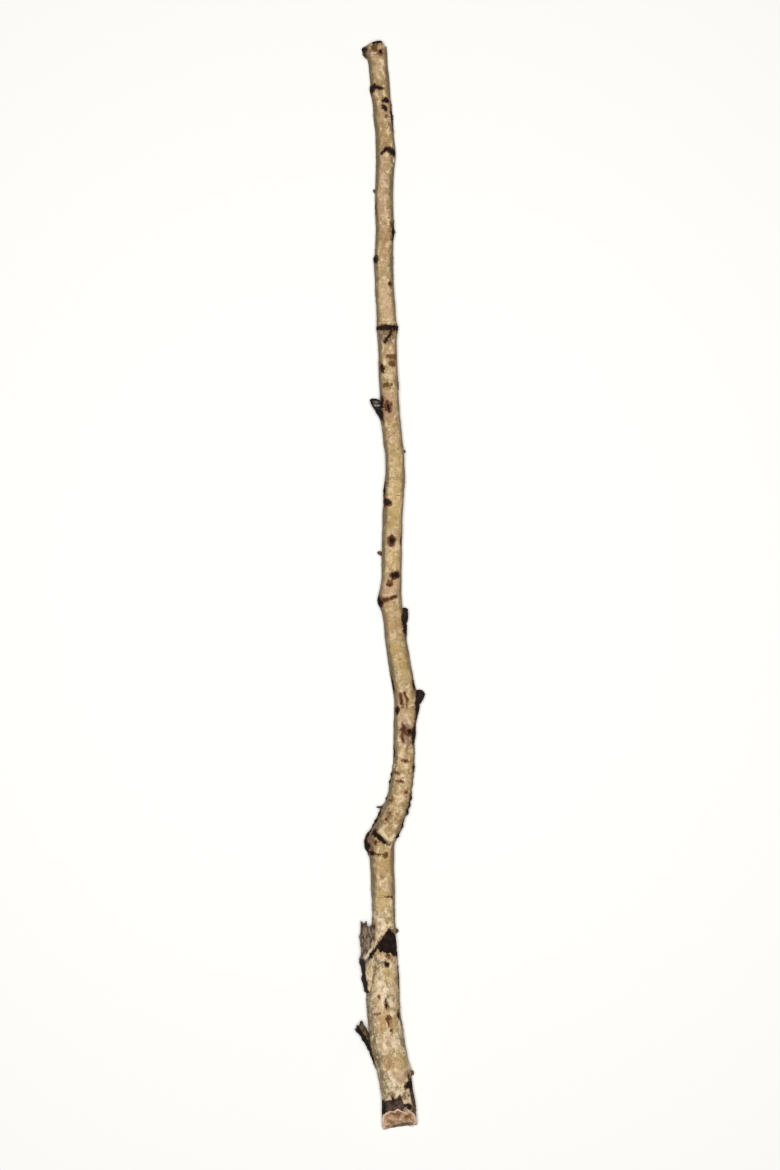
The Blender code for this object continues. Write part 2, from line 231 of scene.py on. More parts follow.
BLACK_SPOTS = (
    (0.9935, 82, 0.0034, 0.0034),
    (0.9892, -18, 0.0014, 0.0015),
    (0.9450, -30, 0.0021, 0.0030),
    (0.9377, -14, 0.0028, 0.0018, 24),
    (0.9562, 54, 0.0032, 0.0036),
    (0.9290, -64, 0.0062, 0.0015),
    (0.8966, -44, 0.0030, 0.0029),
    (0.8466, 68, 0.0042, 0.0018),
    (0.8229, -64, 0.0058, 0.0022),
    (0.7985, 54, 0.0030, 0.0028),
    (0.6988, 40, 0.0034, 0.0024, 20),
    (0.6820, -76, 0.0024, 0.0020),
    (0.6560, 80, 0.0060, 0.0026),
    (0.6632, 11, 0.0028, 0.0013, 8),
    (0.6665, 50, 0.0052, 0.0015),
    (0.6560, 52, 0.0040, 0.0014),
    (0.5868, 64, 0.0046, 0.0015),
    (0.5755, 44, 0.0024, 0.0040, -14),
    (0.5410, 4, 0.0028, 0.0022, 20),
    (0.5403, -64, 0.0030, 0.0014),
    (0.5090, -23, 0.0021, 0.0042, 10),
    (0.4852, 68, 0.0042, 0.0046),
    (0.4630, -72, 0.0100, 0.0034),
    (0.4095, 70, 0.0064, 0.0017),
    (0.4065, -66, 0.0030, 0.0016),
    (0.3850, -72, 0.0110, 0.0030),
    (0.3843, 48, 0.0030, 0.0020, 10),
    (0.3655, -24, 0.0022, 0.0018),
    (0.3630, -60, 0.0088, 0.0044),
    (0.3450, 74, 0.0034, 0.0016),
    (0.3330, -74, 0.0028, 0.0018),
    (0.3240, 72, 0.0022, 0.0016),
    (0.3170, 76, 0.0024, 0.0020),
    (0.3060, -74, 0.0034, 0.0022),
    (0.3010, 74, 0.0020, 0.0018),
    (0.3005, -74, 0.0024, 0.0018),
    (0.2948, -74, 0.0030, 0.0022),
    (0.2897, 84, 0.0014, 0.0022),
    (0.2850, 72, 0.0022, 0.0020),
    (0.2785, 76, 0.0024, 0.0022),
    (0.2745, 82, 0.0020, 0.0018),
    (0.2839, -74, 0.0028, 0.0020),
    (0.2732, -72, 0.0030, 0.0024),
    (0.2600, 78, 0.0060, 0.0044),
    (0.2655, 78, 0.0050, 0.0030),
    (0.2602, 56, 0.0016, 0.0018),
    (0.2541, 48, 0.0018, 0.0018),
    (0.1960, -76, 0.0024, 0.0010),
    (0.1855, 82, 0.0044, 0.0018),
    (0.1527, -9, 0.0023, 0.0016, 20),
    (0.1360, 86, 0.0130, 0.0026),
    (0.1360, -78, 0.0100, 0.0011),
    (0.1150, -11, 0.0028, 0.0010, 12),
    (0.1035, -60, 0.0026, 0.0013),
    (0.0970, -80, 0.0026, 0.0013),
    (0.0720, 80, 0.0090, 0.0030),
    (0.0405, -48, 0.0024, 0.0034, 20),
    (0.0340, -66, 0.0130, 0.0036),
    (0.0270, -74, 0.0130, 0.0030),
    (0.0203, -39, 0.0022, 0.0030),
    (0.0158, -57, 0.0022, 0.0024),
    (0.0275, 18, 0.0034, 0.0016),
    (0.0280, -8, 0.0036, 0.0018),
    (0.0190, 66, 0.0090, 0.0050),
    (0.0215, 36, 0.0072, 0.0056),
    (0.0226, 14, 0.0080, 0.0040),
    (0.0226, -6, 0.0074, 0.0030),
    (0.9860, 150, 0.0030, 0.0026),
    (0.8620, -165, 0.0040, 0.0034),
    (0.7690, -128, 0.0030, 0.0030),
    (0.6320, 160, 0.0032, 0.0042),
    (0.4890, 175, 0.0030, 0.0046),
    (0.4230, 150, 0.0024, 0.0028),
    (0.3310, -150, 0.0034, 0.0040),
    (0.1700, -120, 0.0026, 0.0030),
    (0.1120, 140, 0.0030, 0.0022),
    (0.0660, -150, 0.0040, 0.0030),
    (0.0280, 170, 0.0040, 0.0100),
)

# Black lines: along and angle of one end, along and angle of the other, half width.
BLACK_LINES = (
    (0.9982, 14, 0.9986, -48, 0.0019),
    (0.9588, 34, 0.9562, 4, 0.0018),
    (0.8997, -8, 0.8972, -36, 0.0018),
    (0.8997, -8, 0.8960, 24, 0.0015),
    (0.7335, -26, 0.7290, -15, 0.0009),
    (0.7290, -15, 0.7222, 14, 0.0009),
    (0.8290, -66, 0.8340, -84, 0.0009),
    (0.2700, 46, 0.2640, -16, 0.0018),
    (0.2640, -16, 0.2624, -32, 0.0006),
    (0.4660, -74, 0.4560, -78, 0.0024),
    (0.3900, -66, 0.3740, -82, 0.0022),
    (0.1450, 60, 0.1285, 80, 0.0007),
    (0.0225, -13, 0.0222, -34, 0.0012),
    (0.0405, -50, 0.0390, -76, 0.0014),
)

# Rust and brown scars.
RUST_SPOTS = (
    (0.9890, -18, 0.0026, 0.0022),
    (0.7756, -40, 0.0018, 0.0018),
    (0.6988, 42, 0.0040, 0.0026),
    (0.6636, 12, 0.0050, 0.0032),
    (0.5403, 5, 0.0052, 0.0036),
    (0.5752, 46, 0.0040, 0.0050, -14),
    (0.5090, -23, 0.0036, 0.0046, 10),
    (0.5003, 8, 0.0018, 0.0020),
    (0.4006, -2, 0.0016, 0.0014),
    (0.3840, 44, 0.0036, 0.0024),
    (0.3668, 6, 0.0042, 0.0022),
    (0.3645, -24, 0.0034, 0.0034),
    (0.3585, 10, 0.0036, 0.0012),
    (0.1852, 55, 0.0026, 0.0017),
    (0.1600, -14, 0.0018, 0.0016),
    (0.1225, 17, 0.0014, 0.0012),
    (0.1015, -15, 0.0018, 0.0014),
    (0.0915, -20, 0.0014, 0.0014),
    (0.3100, -30, 0.0014, 0.0022),
    (0.3260, 35, 0.0012, 0.0026),
    (0.3380, -8, 0.0012, 0.0026),
    (0.3190, 6, 0.0011, 0.0030),
    (0.2633, 30, 0.0016, 0.0014),
    (0.2884, 18, 0.0017, 0.0016),
    (0.2825, 22, 0.0012, 0.0011),
    (0.3000, 40, 0.0012, 0.0026),
    (0.5600, -150, 0.0024, 0.0030),
    (0.8100, 175, 0.0022, 0.0030),
)

RUST_LINES = (
    (0.3998, 22, 0.3876, 14, 0.0015),
    (0.4004, -2, 0.3940, -14, 0.0006),
    (0.3940, -14, 0.3880, -6, 0.0006),
    (0.4862, 42, 0.4878, 3, 0.0023),
    (0.4878, 3, 0.4892, -30, 0.0018),
    (0.9562, 4, 0.9560, -20, 0.0007),
    (0.2540, 44, 0.2530, -4, 0.0007),
    (0.2145, -6, 0.2135, -50, 0.0006),
    (0.1000, -14, 0.0940, -15, 0.0006),
    (0.1075, 14, 0.1068, 34, 0.0007),
)

# Plain orange-brown scars.
AMBER_SPOTS = (
    (0.9935, 16, 0.0040, 0.0036),
    (0.9300, -24, 0.0012, 0.0018),
    (0.8300, -50, 0.0030, 0.0022),
    (0.7756, -44, 0.0026, 0.0024),
    (0.7088, -12, 0.0026, 0.0028),
    (0.7086, -44, 0.0028, 0.0034),
    (0.7024, -28, 0.0030, 0.0042),
    (0.6828, 12, 0.0022, 0.0028),
    (0.6826, -17, 0.0016, 0.0018),
    (0.5020, 6, 0.0034, 0.0030),
    (0.2522, -18, 0.0028, 0.0026),
    (0.1600, -20, 0.0024, 0.0022),
    (0.1020, -16, 0.0040, 0.0026),
)

# Pale cream and pinkish flecks.
PALE_SPOTS = (
    (0.8910, -56, 0.0026, 0.0014),
    (0.2712, -46, 0.0036, 0.0030),
    (0.2610, -38, 0.0024, 0.0024),
    (0.1965, -28, 0.0018, 0.0026),
    (0.1932, 19, 0.0018, 0.0015),
    (0.1860, 26, 0.0026, 0.0022),
    (0.1785, 33, 0.0026, 0.0014),
    (0.1590, 27, 0.0028, 0.0020, 10),
    (0.1348, 14, 0.0018, 0.0024),
    (0.1345, 62, 0.0030, 0.0022),
    (0.1290, -6, 0.0034, 0.0026),
    (0.1158, -31, 0.0026, 0.0016),
    (0.1150, 2, 0.0080, 0.0014),
    (0.1062, -30, 0.0024, 0.0040),
    (0.0915, -4, 0.0014, 0.0030),
    (0.0870, 14, 0.0024, 0.0012),
    (0.0785, -22, 0.0030, 0.0028),
    (0.0780, 12, 0.0044, 0.0022),
    (0.0712, 15, 0.0014, 0.0026),
    (0.0540, 16, 0.0026, 0.0018),
    (0.0460, 4, 0.0050, 0.0020),
    (0.0430, -12, 0.0030, 0.0013),
    (0.0378, -36, 0.0016, 0.0015),
    (0.0328, 0, 0.0022, 0.0014),
    (0.0262, -16, 0.0022, 0.0022),
    (0.0182, 2, 0.0010, 0.0060),
    (0.0255, -20, 0.0020, 0.0028),
)

PALE_LINES = (
    (0.1885, -8, 0.1610, 72, 0.0014),
    (0.2722, 26, 0.2668, -40, 0.0011),
    (0.7402, 50, 0.7400, -60, 0.0007),
)

# Warmer, pinker bark.
WARM_SPOTS = (
    (0.9880, 40, 0.0060, 0.0060),
    (0.9745, 0, 0.0030, 0.0026),
    (0.9350, -20, 0.0110, 0.0060),
    (0.8600, 20, 0.0350, 0.0050),
    (0.7600, -20, 0.0180, 0.0050),
    (0.7020, -25, 0.0140, 0.0070),
    (0.6660, 20, 0.0120, 0.0070),
    (0.4980, 0, 0.0110, 0.0090),
    (0.3720, 0, 0.0100, 0.0070),
    (0.2640, 56, 0.0060, 0.0060),
    (0.1850, 40, 0.0080, 0.0050),
    (0.1140, 22, 0.0110, 0.0040),
    (0.0980, 32, 0.0080, 0.0030),
    (0.0800, 6, 0.0090, 0.0070),
    (0.0500, -18, 0.0060, 0.0060),
)

# Golden patches where the outer paper has worn thin.
GOLDEN_SPOTS = (
    (0.6180, -16, 0.0110, 0.0040),
    (0.5900, -22, 0.0150, 0.0046),
    (0.5650, -10, 0.0110, 0.0050),
    (0.5250, -20, 0.0080, 0.0040),
    (0.4440, 10, 0.0060, 0.0070),
    (0.4280, -22, 0.0090, 0.0040),
    (0.2480, -10, 0.0080, 0.0060),
    (0.2110, 4, 0.0100, 0.0080),
    (0.1430, -18, 0.0100, 0.0048),
    (0.0965, 8, 0.0090, 0.0040),
    (0.0960, -34, 0.0080, 0.0036),
    (0.0620, -40, 0.0110, 0.0058),
)

# Olive-grey, where algae and dirt hold.
OLIVE_SPOTS = (
    (0.7300, -20, 0.0060, 0.0026),
    (0.7250, 2, 0.0050, 0.0026),
    (0.0177, -20, 0.0020, 0.0022),
    (0.6828, 12, 0.0028, 0.0032),
    (0.4560, -74, 0.0080, 0.0024),
    (0.2880, 16, 0.0038, 0.0034),
    (0.2820, 22, 0.0028, 0.0026),
    (0.2620, 56, 0.0050, 0.0050),
    (0.9760, 64, 0.0160, 0.0030),
    (0.9700, -56, 0.0180, 0.0020),
    (0.9280, 62, 0.0160, 0.0024),
    (0.9050, 62, 0.0120, 0.0014),
    (0.8460, -50, 0.0340, 0.0012),
    (0.7960, -54, 0.0240, 0.0010),
    (0.8300, 58, 0.0400, 0.0013),
    (0.6450, 60, 0.0120, 0.0020),
    (0.5900, 62, 0.0200, 0.0018),
    (0.5600, 60, 0.0120, 0.0016),
    (0.3100, 48, 0.0300, 0.0018),
    (0.4280, 56, 0.0160, 0.0016),
    (0.2600, 52, 0.0060, 0.0050),
    (0.2300, -58, 0.0300, 0.0016),
    (0.2300, 56, 0.0300, 0.0018),
    (0.7850, 70, 0.0200, 0.0022),
    (0.6400, 74, 0.0220, 0.0024),
    (0.5300, 66, 0.0160, 0.0026),
    (0.1800, 66, 0.0100, 0.0036),
    (0.1570, 74, 0.0070, 0.0040),
    (0.1235, -13, 0.0020, 0.0012),
    (0.1230, 56, 0.0050, 0.0028),
    (0.1130, -40, 0.0030, 0.0014),
    (0.1075, 60, 0.0066, 0.0036),
    (0.1380, 11, 0.0016, 0.0012),
    (0.1490, 42, 0.0018, 0.0012),
    (0.0870, 42, 0.0060, 0.0026),
    (0.0690, 50, 0.0080, 0.0050),
    (0.0780, -68, 0.0050, 0.0024),
    (0.0525, 48, 0.0024, 0.0018),
    (0.0510, 17, 0.0024, 0.0013),
    (0.0425, 35, 0.0024, 0.0020),
    (0.0405, -2, 0.0020, 0.0018, -30),
    (0.0355, 20, 0.0016, 0.0022),
    (0.0300, -34, 0.0030, 0.0030),
)

# Bruised, mauve-brown bark.
MAUVE_SPOTS = (
    (0.9930, 62, 0.0030, 0.0022),
    (0.9892, -18, 0.0030, 0.0028),
    (0.9240, -50, 0.0050, 0.0016),
    (0.8860, -60, 0.0100, 0.0012),
    (0.7300, 42, 0.0038, 0.0030),
    (0.6620, 28, 0.0066, 0.0026),
    (0.3660, -8, 0.0066, 0.0064),
    (0.3560, -20, 0.0040, 0.0040),
    (0.2660, 58, 0.0050, 0.0030),
    (0.3585, -18, 0.0035, 0.0040),
    (0.0250, 20, 0.0060, 0.0060),
)

# How mottled the bark is, in pairs of along and share.
MOTTLED = (
    (0.00, 1.10), (0.20, 1.00), (0.25, 0.95), (0.27, 1.00), (0.34, 1.00), (0.38, 0.90),
    (0.44, 0.65), (0.50, 0.70), (0.58, 0.75), (0.63, 0.80), (0.66, 1.10), (0.72, 1.10),
    (0.76, 0.80), (0.86, 1.10), (0.92, 1.00), (1.00, 1.00),
)

# How dull the bark is, in the same way.
DULLED = (
    (0.22, 0.20), (0.25, 0.42), (0.28, 0.38), (0.31, 0.22), (0.36, 0.26), (0.40, 0.70),
    (0.44, 0.50), (0.47, 0.00), (0.58, 0.00), (0.64, 0.05), (0.68, 0.24), (0.72, 0.16),
    (0.78, 0.46), (0.84, 0.62), (0.88, 1.00), (0.93, 0.80), (1.00, 0.58),
)

# The bark's mesh, and where it is parted into lengths, on dark marks.
RING_STEP = 0.00055
SIDES = 128
LENGTHS = (
    ("butt", 0.0000, 0.2620),
    ("lower", 0.2620, 0.4870),
    ("middle", 0.4870, 0.7365),
    ("tip", 0.7365, 1.0000),
)
BAKE_STRIPS = 2
BAKE_MARGIN = 0.006


# The stem's surface.


def along_curve(rows, column, at):
    """A smooth curve through one column of the rows, read at the given distances along."""
    known = np.array([row[0] for row in rows])
    value = np.array([row[column] for row in rows])
    slope = np.gradient(value, known)
    i = np.clip(np.searchsorted(known, at) - 1, 0, len(known) - 2)
    span = known[i + 1] - known[i]
    t = (at - known[i]) / span
    rise = value[i + 1] - value[i]
    bend = (slope[i] + slope[i + 1]) * span - 2 * rise
    return value[i] + t * (slope[i] * span + t * (rise - slope[i] * span - bend + t * bend))


def stem_middle(at):
    """The points on the stem's middle line."""
    across = along_curve(STEM, 1, at)
    height = along_curve(STEM, 2, at) + along_curve(STEM, 3, at)
    return np.stack([at, across, height], axis=-1)


def turned(angle):
    """An angle brought to within half a turn of zero."""
    return (angle + pi) % tau - pi


def ease(value, low, high):
    """A smooth step from 0 at low to 1 at high."""
    t = np.clip((value - low) / (high - low), 0, 1)
    return t * t * (3 - 2 * t)


def patches(at, angle, length, count, seed):
    """Soft random patches between -1 and 1: length along the stem, and count of them round it."""
    rows = int(LENGTH / length) + 6
    table = np.random.default_rng(seed).uniform(-1, 1, (rows, count))
    u = np.clip(at / length + 2, 0, rows - 2)
    v = (angle / tau * count) % count
    i, j = u.astype(int), v.astype(int) % count
    s, t = u - i, v - np.floor(v)
    s, t = s * s * (3 - 2 * s), t * t * (3 - 2 * t)
    near = table[i, j] * (1 - t) + table[i, (j + 1) % count] * t
    far = table[i + 1, j] * (1 - t) + table[i + 1, (j + 1) % count] * t
    return near * (1 - s) + far * s


def swelling_height(at, angle, radius):
    total = np.zeros_like(at)
    for along, degrees, half_length, half_width, height in SWELLINGS:
        away = ((at - along) / half_length) ** 2
        round_it = (turned(angle - radians(degrees)) * radius / half_width) ** 2
        total += height * np.exp(-away - round_it)
    return total


def ridge_line(at, angle, row):
    """How far a point lies above a ridge's line, and its share of the way from crown to foot."""
    along, degrees, drop, left, right, left_bend, right_bend = row[:7]
    off = turned(angle - radians(degrees))
    share = np.abs(off) / np.radians(np.where(off > 0, left, right))
    return at - along + drop * share ** np.where(off > 0, left_bend, right_bend), share


def ridge_height(at, angle):
    total = np.zeros_like(at)
    for row in RIDGES:
        above, share = ridge_line(at, angle, row)
        fade = np.clip(2.2 * (1 - share), 0, 1)
        total += row[7] * fade * np.exp(-((above / RIDGE_WIDTH) ** 2))
    return total


def unevenness(at, angle):
    total = np.zeros_like(at)
    for wave, turns, phase, height in UNEVENNESS:
        total += height * np.sin(tau * at / wave + turns * angle + phase)
    return total


def wrinkle_wave(at, angle):
    """The growth wrinkles on the bend: 1 on a crest, -1 in a furrow, 0 where there are none."""
    edge = 0.012
    fade = np.clip((at - WRINKLES_FROM) / edge, 0, 1) * np.clip((WRINKLES_TO - at) / edge, 0, 1)
    wander = 2.6 * patches(at, angle, 0.013, 5, 61) + 1.1 * patches(at, angle, 0.005, 11, 62)
    strength = 0.5 + 0.7 * patches(at, angle, 0.008, 8, 63)
    return fade * np.clip(strength, 0, 1) * np.sin(tau * at / WRINKLE_STEP + wander)


def plain_radius(at, angle):
    """The stem's radius as the solid has it, without the bark's fine relief."""
    plain = along_curve(STEM, 2, at)
    radius = plain + swelling_height(at, angle, plain) + ridge_height(at, angle)
    return radius + unevenness(at, angle) + WRINKLE_HEIGHT * wrinkle_wave(at, angle)


def stem_axes(at):
    """The stem's direction, and its sideways and upward directions square to that."""
    step = 0.001
    run = stem_middle(at + step) - stem_middle(at - step)
    run /= np.linalg.norm(run, axis=-1, keepdims=True)
    side = np.cross(np.array((0.0, 0.0, 1.0)), run)
    side /= np.linalg.norm(side, axis=-1, keepdims=True)
    return run, side, np.cross(run, side)


def stem_points(at, angle, radius):
    """Points at this radius round the stem's middle line, in the frame's place."""
    side, up = stem_axes(at)[1:]
    out = np.cos(angle)[..., None] * up + np.sin(angle)[..., None] * side
    return stem_middle(at) + radius[..., None] * out - MIDDLE


# The marks, as depths in metres: positive inside a mark, negative outside.


def spot_depth(at, angle, radius, row):
    along, degrees, half_length, half_width, *lean = row
    u = at - along
    v = turned(angle - radians(degrees)) * radius
    c, s = cos(radians(sum(lean))), sin(radians(sum(lean)))
    reach = np.hypot((u * c + v * s) / half_length, (v * c - u * s) / half_width)
    return (1 - reach) * min(half_length, half_width)


def line_depth(at, angle, radius, row):
    along, degrees, far_along, far_degrees, half_width = row
    u = at - along
    v = turned(angle - radians(degrees)) * radius
    du = far_along - along
    dv = radians(far_degrees - degrees) * radius
    t = np.clip((u * du + v * dv) / (du * du + dv * dv), 0, 1)
    return half_width * (1 - 0.3 * t) - np.hypot(u - t * du, v - t * dv)


def arch_depth(at, angle, radius, row):
    """The black below a ridge: filled down to a ragged level edge, with narrow arms along the ridge."""
    above, share = ridge_line(at, angle, row)
    along, degrees, _, left, right = row[:5]
    teeth = patches(at, angle, 0.004, 26, 71) + 0.8 * patches(at, angle, 0.002, 60, 72)
    off = turned(angle - radians(degrees))
    level = row[8] * (1 + 0.10 * teeth - 0.14 * off) - (along - at + above)
    arm = (0.0014 + 0.07 * row[8]) * (1 - 0.4 * np.clip(share, 0, 1)) * (1 + 0.12 * teeth)
    side = (1 - share) * np.radians(np.where(off > 0, left, right)) * radius
    return np.minimum(np.minimum(-above - 0.0004, above + np.maximum(level, arm)), side)


def deepest(at, angle, radius, measure, rows):
    found = np.full_like(at, -0.012)
    for row in rows:
        found = np.maximum(found, measure(at, angle, radius, row))
    return found


def bark_marks(at, angle, radius):
    """Every kind of mark, as its depth at each point of the bark."""

    def both(spots, lines=()):
        spotted = deepest(at, angle, radius, spot_depth, spots)
        return np.maximum(spotted, deepest(at, angle, radius, line_depth, lines))

    dark_ridges = [row for row in RIDGES if row[8] > 0]
    black = both(BLACK_SPOTS, BLACK_LINES)
    return {
        "soot": np.maximum(black, deepest(at, angle, radius, arch_depth, dark_ridges)),
        "rust": both(RUST_SPOTS, RUST_LINES),
        "amber": both(AMBER_SPOTS),
        "pale": both(PALE_SPOTS, PALE_LINES),
        "warm": both(WARM_SPOTS),
        "golden": both(GOLDEN_SPOTS),
        "olive": both(OLIVE_SPOTS),
        "mauve": both(MAUVE_SPOTS),
    }


def worn_paper(at, angle):
    """Where the outermost paper is gone: above 0 inside such a patch."""
    wide = patches(at, angle, 0.016, 7, 21) + 0.55 * patches(at, angle, 0.006, 16, 22)
    fine = 0.28 * patches(at, angle, 0.0022, 34, 23) + 0.14 * patches(at, angle, 0.0010, 70, 24)
    return wide + fine - 0.62 + 0.30 * ease(-at, -0.26, -0.10)


def bark_relief(at, angle, marks, worn):
    """The bark's fine relief: crusted scars with a lip round them, paper edges and crosswise grain."""
    soot, rust = marks["soot"], marks["rust"]
    cover = ease(soot, -0.0004, 0.0008)
    crust = 0.30 * patches(at, angle, 0.0016, 44, 31) + 0.20 * patches(at, angle, 0.0009, 80, 32)
    lip = np.exp(-(((soot + 0.0009) / 0.0007) ** 2)) + 0.7 * np.exp(-(((rust + 0.0006) / 0.0006) ** 2))
    bend = ease(at, 0.262, 0.272) * ease(-at, -0.350, -0.330)
    domes = np.clip(soot, 0, 0.0016) * (0.36 + 0.50 * bend) - 0.10 * np.clip(rust, 0, 0.0020)
    grain = 0.045 * patches(at, angle, 0.0011, 12, 33) + 0.030 * patches(at, angle, 0.0008, 22, 34)
    lumps = 0.20 * patches(at, angle, 0.0070, 11, 35) + 0.12 * patches(at, angle, 0.0028, 26, 36)
    lumps = lumps + 0.30 * np.clip(np.abs(wrinkle_wave(at, angle)), 0, 1) * patches(at, angle, 0.0034, 20, 38)
    rough_butt = 0.24 * ease(-at, -0.24, -0.04) * patches(at, angle, 0.0040, 24, 37)
    flecks = 0.16 * ease(marks["pale"], -0.0002, 0.0006)
    plain = grain + lumps - 0.10 * ease(worn, -0.02, 0.03) + rough_butt + flecks
    return 0.001 * (plain * (1 - cover) + crust * cover + 0.16 * lip) + domes


def butt_rise(angle):
    """How far the sawn butt lies back at each angle: far on top, hardly underneath, less on the -Y side."""
    upper = ease(np.cos(angle), -0.5, 0.75) * (1 + BUTT_TURN * np.minimum(np.sin(angle), 0))
    return BUTT_RISE * upper + BUTT_SLEW * (1 - np.sin(angle)) / 2


def stem_rings():
    """Along and angle of every point of the bark. The rings near an end lean as its cut does."""
    even = np.linspace(0.0, LENGTH, round(LENGTH / RING_STEP) + 1)
    angle = np.arange(SIDES) * tau / SIDES
    upper_share = (1 + np.cos(angle)) / 2
    waves = sum(height * np.sin(count * angle + phase) for height, count, phase in RIM_WAVES)
    rise = butt_rise(angle) + waves * upper_share + 0.0002 * np.sin(13 * angle)
    sink = TIP_SINK * upper_share + TIP_SLEW * np.clip(np.sin(angle), 0, 1) ** 2 + 0.0002 * np.sin(6 * angle)
    sink = sink + TIP_WEAR * ease(-np.sin(angle), 0.50, 0.95) - TIP_BELLY * np.cos(angle) ** 2
    at = even[:, None] + rise * np.clip(1 - even[:, None] / CUT_REACH, 0, 1)
    at = at - sink * np.clip(1 - (LENGTH - even[:, None]) / CUT_REACH, 0, 1)
    return even, at, np.broadcast_to(angle, at.shape)


def surface_normals(points):
    """Outward normals of a tube of rings, by differences, so that its lengths meet with no seam."""
    along = np.gradient(points, axis=0)
    around = np.roll(points, -1, axis=1) - np.roll(points, 1, axis=1)
    normal = np.cross(around, along)
    return normal / np.linalg.norm(normal, axis=-1, keepdims=True)


# Meshes from rings of points.


def ring_faces(rings, sides):
    """Corners of the quads between rings, and each quad's place along and round."""
    i, j = np.meshgrid(np.arange(rings - 1), np.arange(sides), indexing="ij")
    k = (j + 1) % sides
    quads = np.stack([i * sides + j, i * sides + k, (i + 1) * sides + k, (i + 1) * sides + j], axis=-1)
    return quads.reshape(-1, 4), i, j


def store(mesh, name, values):
    """Keeps one value for each vertex under this name, for the materials and the scattering."""
    values = np.asarray(values, np.float32)
    if values.shape[-1:] == (3,):
        layer = mesh.attributes.new(name, "FLOAT_VECTOR", "POINT")
        layer.data.foreach_set("vector", values.ravel())
    else:
        layer = mesh.attributes.new(name, "FLOAT", "POINT")
        layer.data.foreach_set("value", values.ravel())


def bake_map(mesh, rings, sides, i, j):
    """A flat layout of a tube: its length in strips side by side, unrolled."""
    per_strip = -(-(rings - 1) // BAKE_STRIPS)
    strip = i // per_strip
    u0 = (i - strip * per_strip) / per_strip
    u1 = (i - strip * per_strip + 1) / per_strip
    v0, v1 = j / sides, (j + 1) / sides
    corner_u = np.stack([u0, u0, u1, u1], axis=-1)
    corner_v = np.stack([v0, v1, v1, v0], axis=-1)
    u = BAKE_MARGIN + corner_u * (1 - 2 * BAKE_MARGIN)
    v = (strip[..., None] + BAKE_MARGIN + corner_v * (1 - 2 * BAKE_MARGIN)) / BAKE_STRIPS
    layer = mesh.uv_layers.new(name="OFBake")
    layer.data.foreach_set("uv", np.stack([u, v], axis=-1).astype(np.float32).ravel())


def show(name, mesh):
    thing = bpy.data.objects.new(name, mesh)
    bpy.context.scene.collection.objects.link(thing)
    return thing


# Short ways to write material nodes.


def feed(tree, socket, value):
    if isinstance(value, bpy.types.NodeSocket):
        tree.links.new(value, socket)
    else:
        socket.default_value = value


def attribute(tree, name, output="Fac"):
    node = tree.nodes.new("ShaderNodeAttribute")
    node.attribute_name = name
    return node.outputs[output]


def sums(tree, operation, first, second=0.0):
    node = tree.nodes.new("ShaderNodeMath")
    node.operation = operation
    feed(tree, node.inputs[0], first)
    feed(tree, node.inputs[1], second)
    return node.outputs[0]


def ramp(tree, value, low, high, to_low=0.0, to_high=1.0):
    """A clamped smooth step of a value."""
    node = tree.nodes.new("ShaderNodeMapRange")
    node.interpolation_type = "SMOOTHSTEP"
    for socket, given in zip(node.inputs, (value, low, high, to_low, to_high)):
        feed(tree, socket, given)
    return node.outputs[0]


def tint(tree, share, low, high, mode="MIX"):
    """A colour between low and high."""
    node = tree.nodes.new("ShaderNodeMix")
    node.data_type = "RGBA"
    node.blend_type = mode
    node.clamp_factor = True
    feed(tree, node.inputs["Factor"], share)
    feed(tree, node.inputs[6], low if isinstance(low, bpy.types.NodeSocket) else (*low, 1.0))
    feed(tree, node.inputs[7], high if isinstance(high, bpy.types.NodeSocket) else (*high, 1.0))
    return node.outputs[2]


def cloud(tree, place, length, width, detail=3.0, shift=0.0, distortion=0.0):
    """Noise with features of this length along the branch and this width across it, in metres."""
    mapping = tree.nodes.new("ShaderNodeMapping")
    mapping.inputs["Scale"].default_value = (1 / length, 1 / width, 1 / width)
    mapping.inputs["Location"].default_value = (shift, shift, shift)
    tree.links.new(place, mapping.inputs["Vector"])
    node = tree.nodes.new("ShaderNodeTexNoise")
    node.inputs["Scale"].default_value = 1.0
    node.inputs["Detail"].default_value = detail
    node.inputs["Roughness"].default_value = 0.6
    node.inputs["Distortion"].default_value = distortion
    tree.links.new(mapping.outputs[0], node.inputs["Vector"])
    return node.outputs["Fac"]


def new_material(name):
    made = bpy.data.materials.new(name)
    made.use_nodes = True
    tree = made.node_tree
    return made, tree, tree.nodes["Principled BSDF"]


def add_bump(tree, shader, height, distance, strength=1.0):
    node = tree.nodes.new("ShaderNodeBump")
    node.inputs["Strength"].default_value = strength
    node.inputs["Distance"].default_value = distance
    tree.links.new(height, node.inputs["Height"])
    tree.links.new(node.outputs[0], shader.inputs["Normal"])


CREAM = (0.66, 0.485, 0.262)
TAN = (0.355, 0.225, 0.098)
PALE_CREAM = (0.86, 0.69, 0.47)
DULL_TAN = (0.240, 0.155, 0.072)
OLIVE_TAN = (0.340, 0.265, 0.110)
DIM_TAN = (0.300, 0.200, 0.078)
FADED_CREAM = (0.68, 0.545, 0.355)
GREY_BARK = (0.230, 0.178, 0.092)
PINK_TAN = (0.55, 0.350, 0.225)
GOLDEN = (0.45, 0.305, 0.095)
UNDER_PAPER = (0.44, 0.235, 0.095)
OLIVE = (0.105, 0.082, 0.034)
MOSS_GREY = (0.165, 0.135, 0.078)
CHALK = (0.86, 0.72, 0.52)
AMBER = (0.125, 0.055, 0.008)
BROWN = (0.135, 0.049, 0.014)
RED_BROWN = (0.175, 0.056, 0.016)
RUST = (0.062, 0.018, 0.007)
SOOT = (0.0092, 0.0042, 0.0026)
SOOT_GREY = (0.020, 0.015, 0.012)
SOOT_BROWN = (0.046, 0.022, 0.011)
MAUVE_BROWN = (0.155, 0.100, 0.078)
BRUISE = (0.122, 0.076, 0.058)
WARM_BROWN = (0.30, 0.170, 0.065)
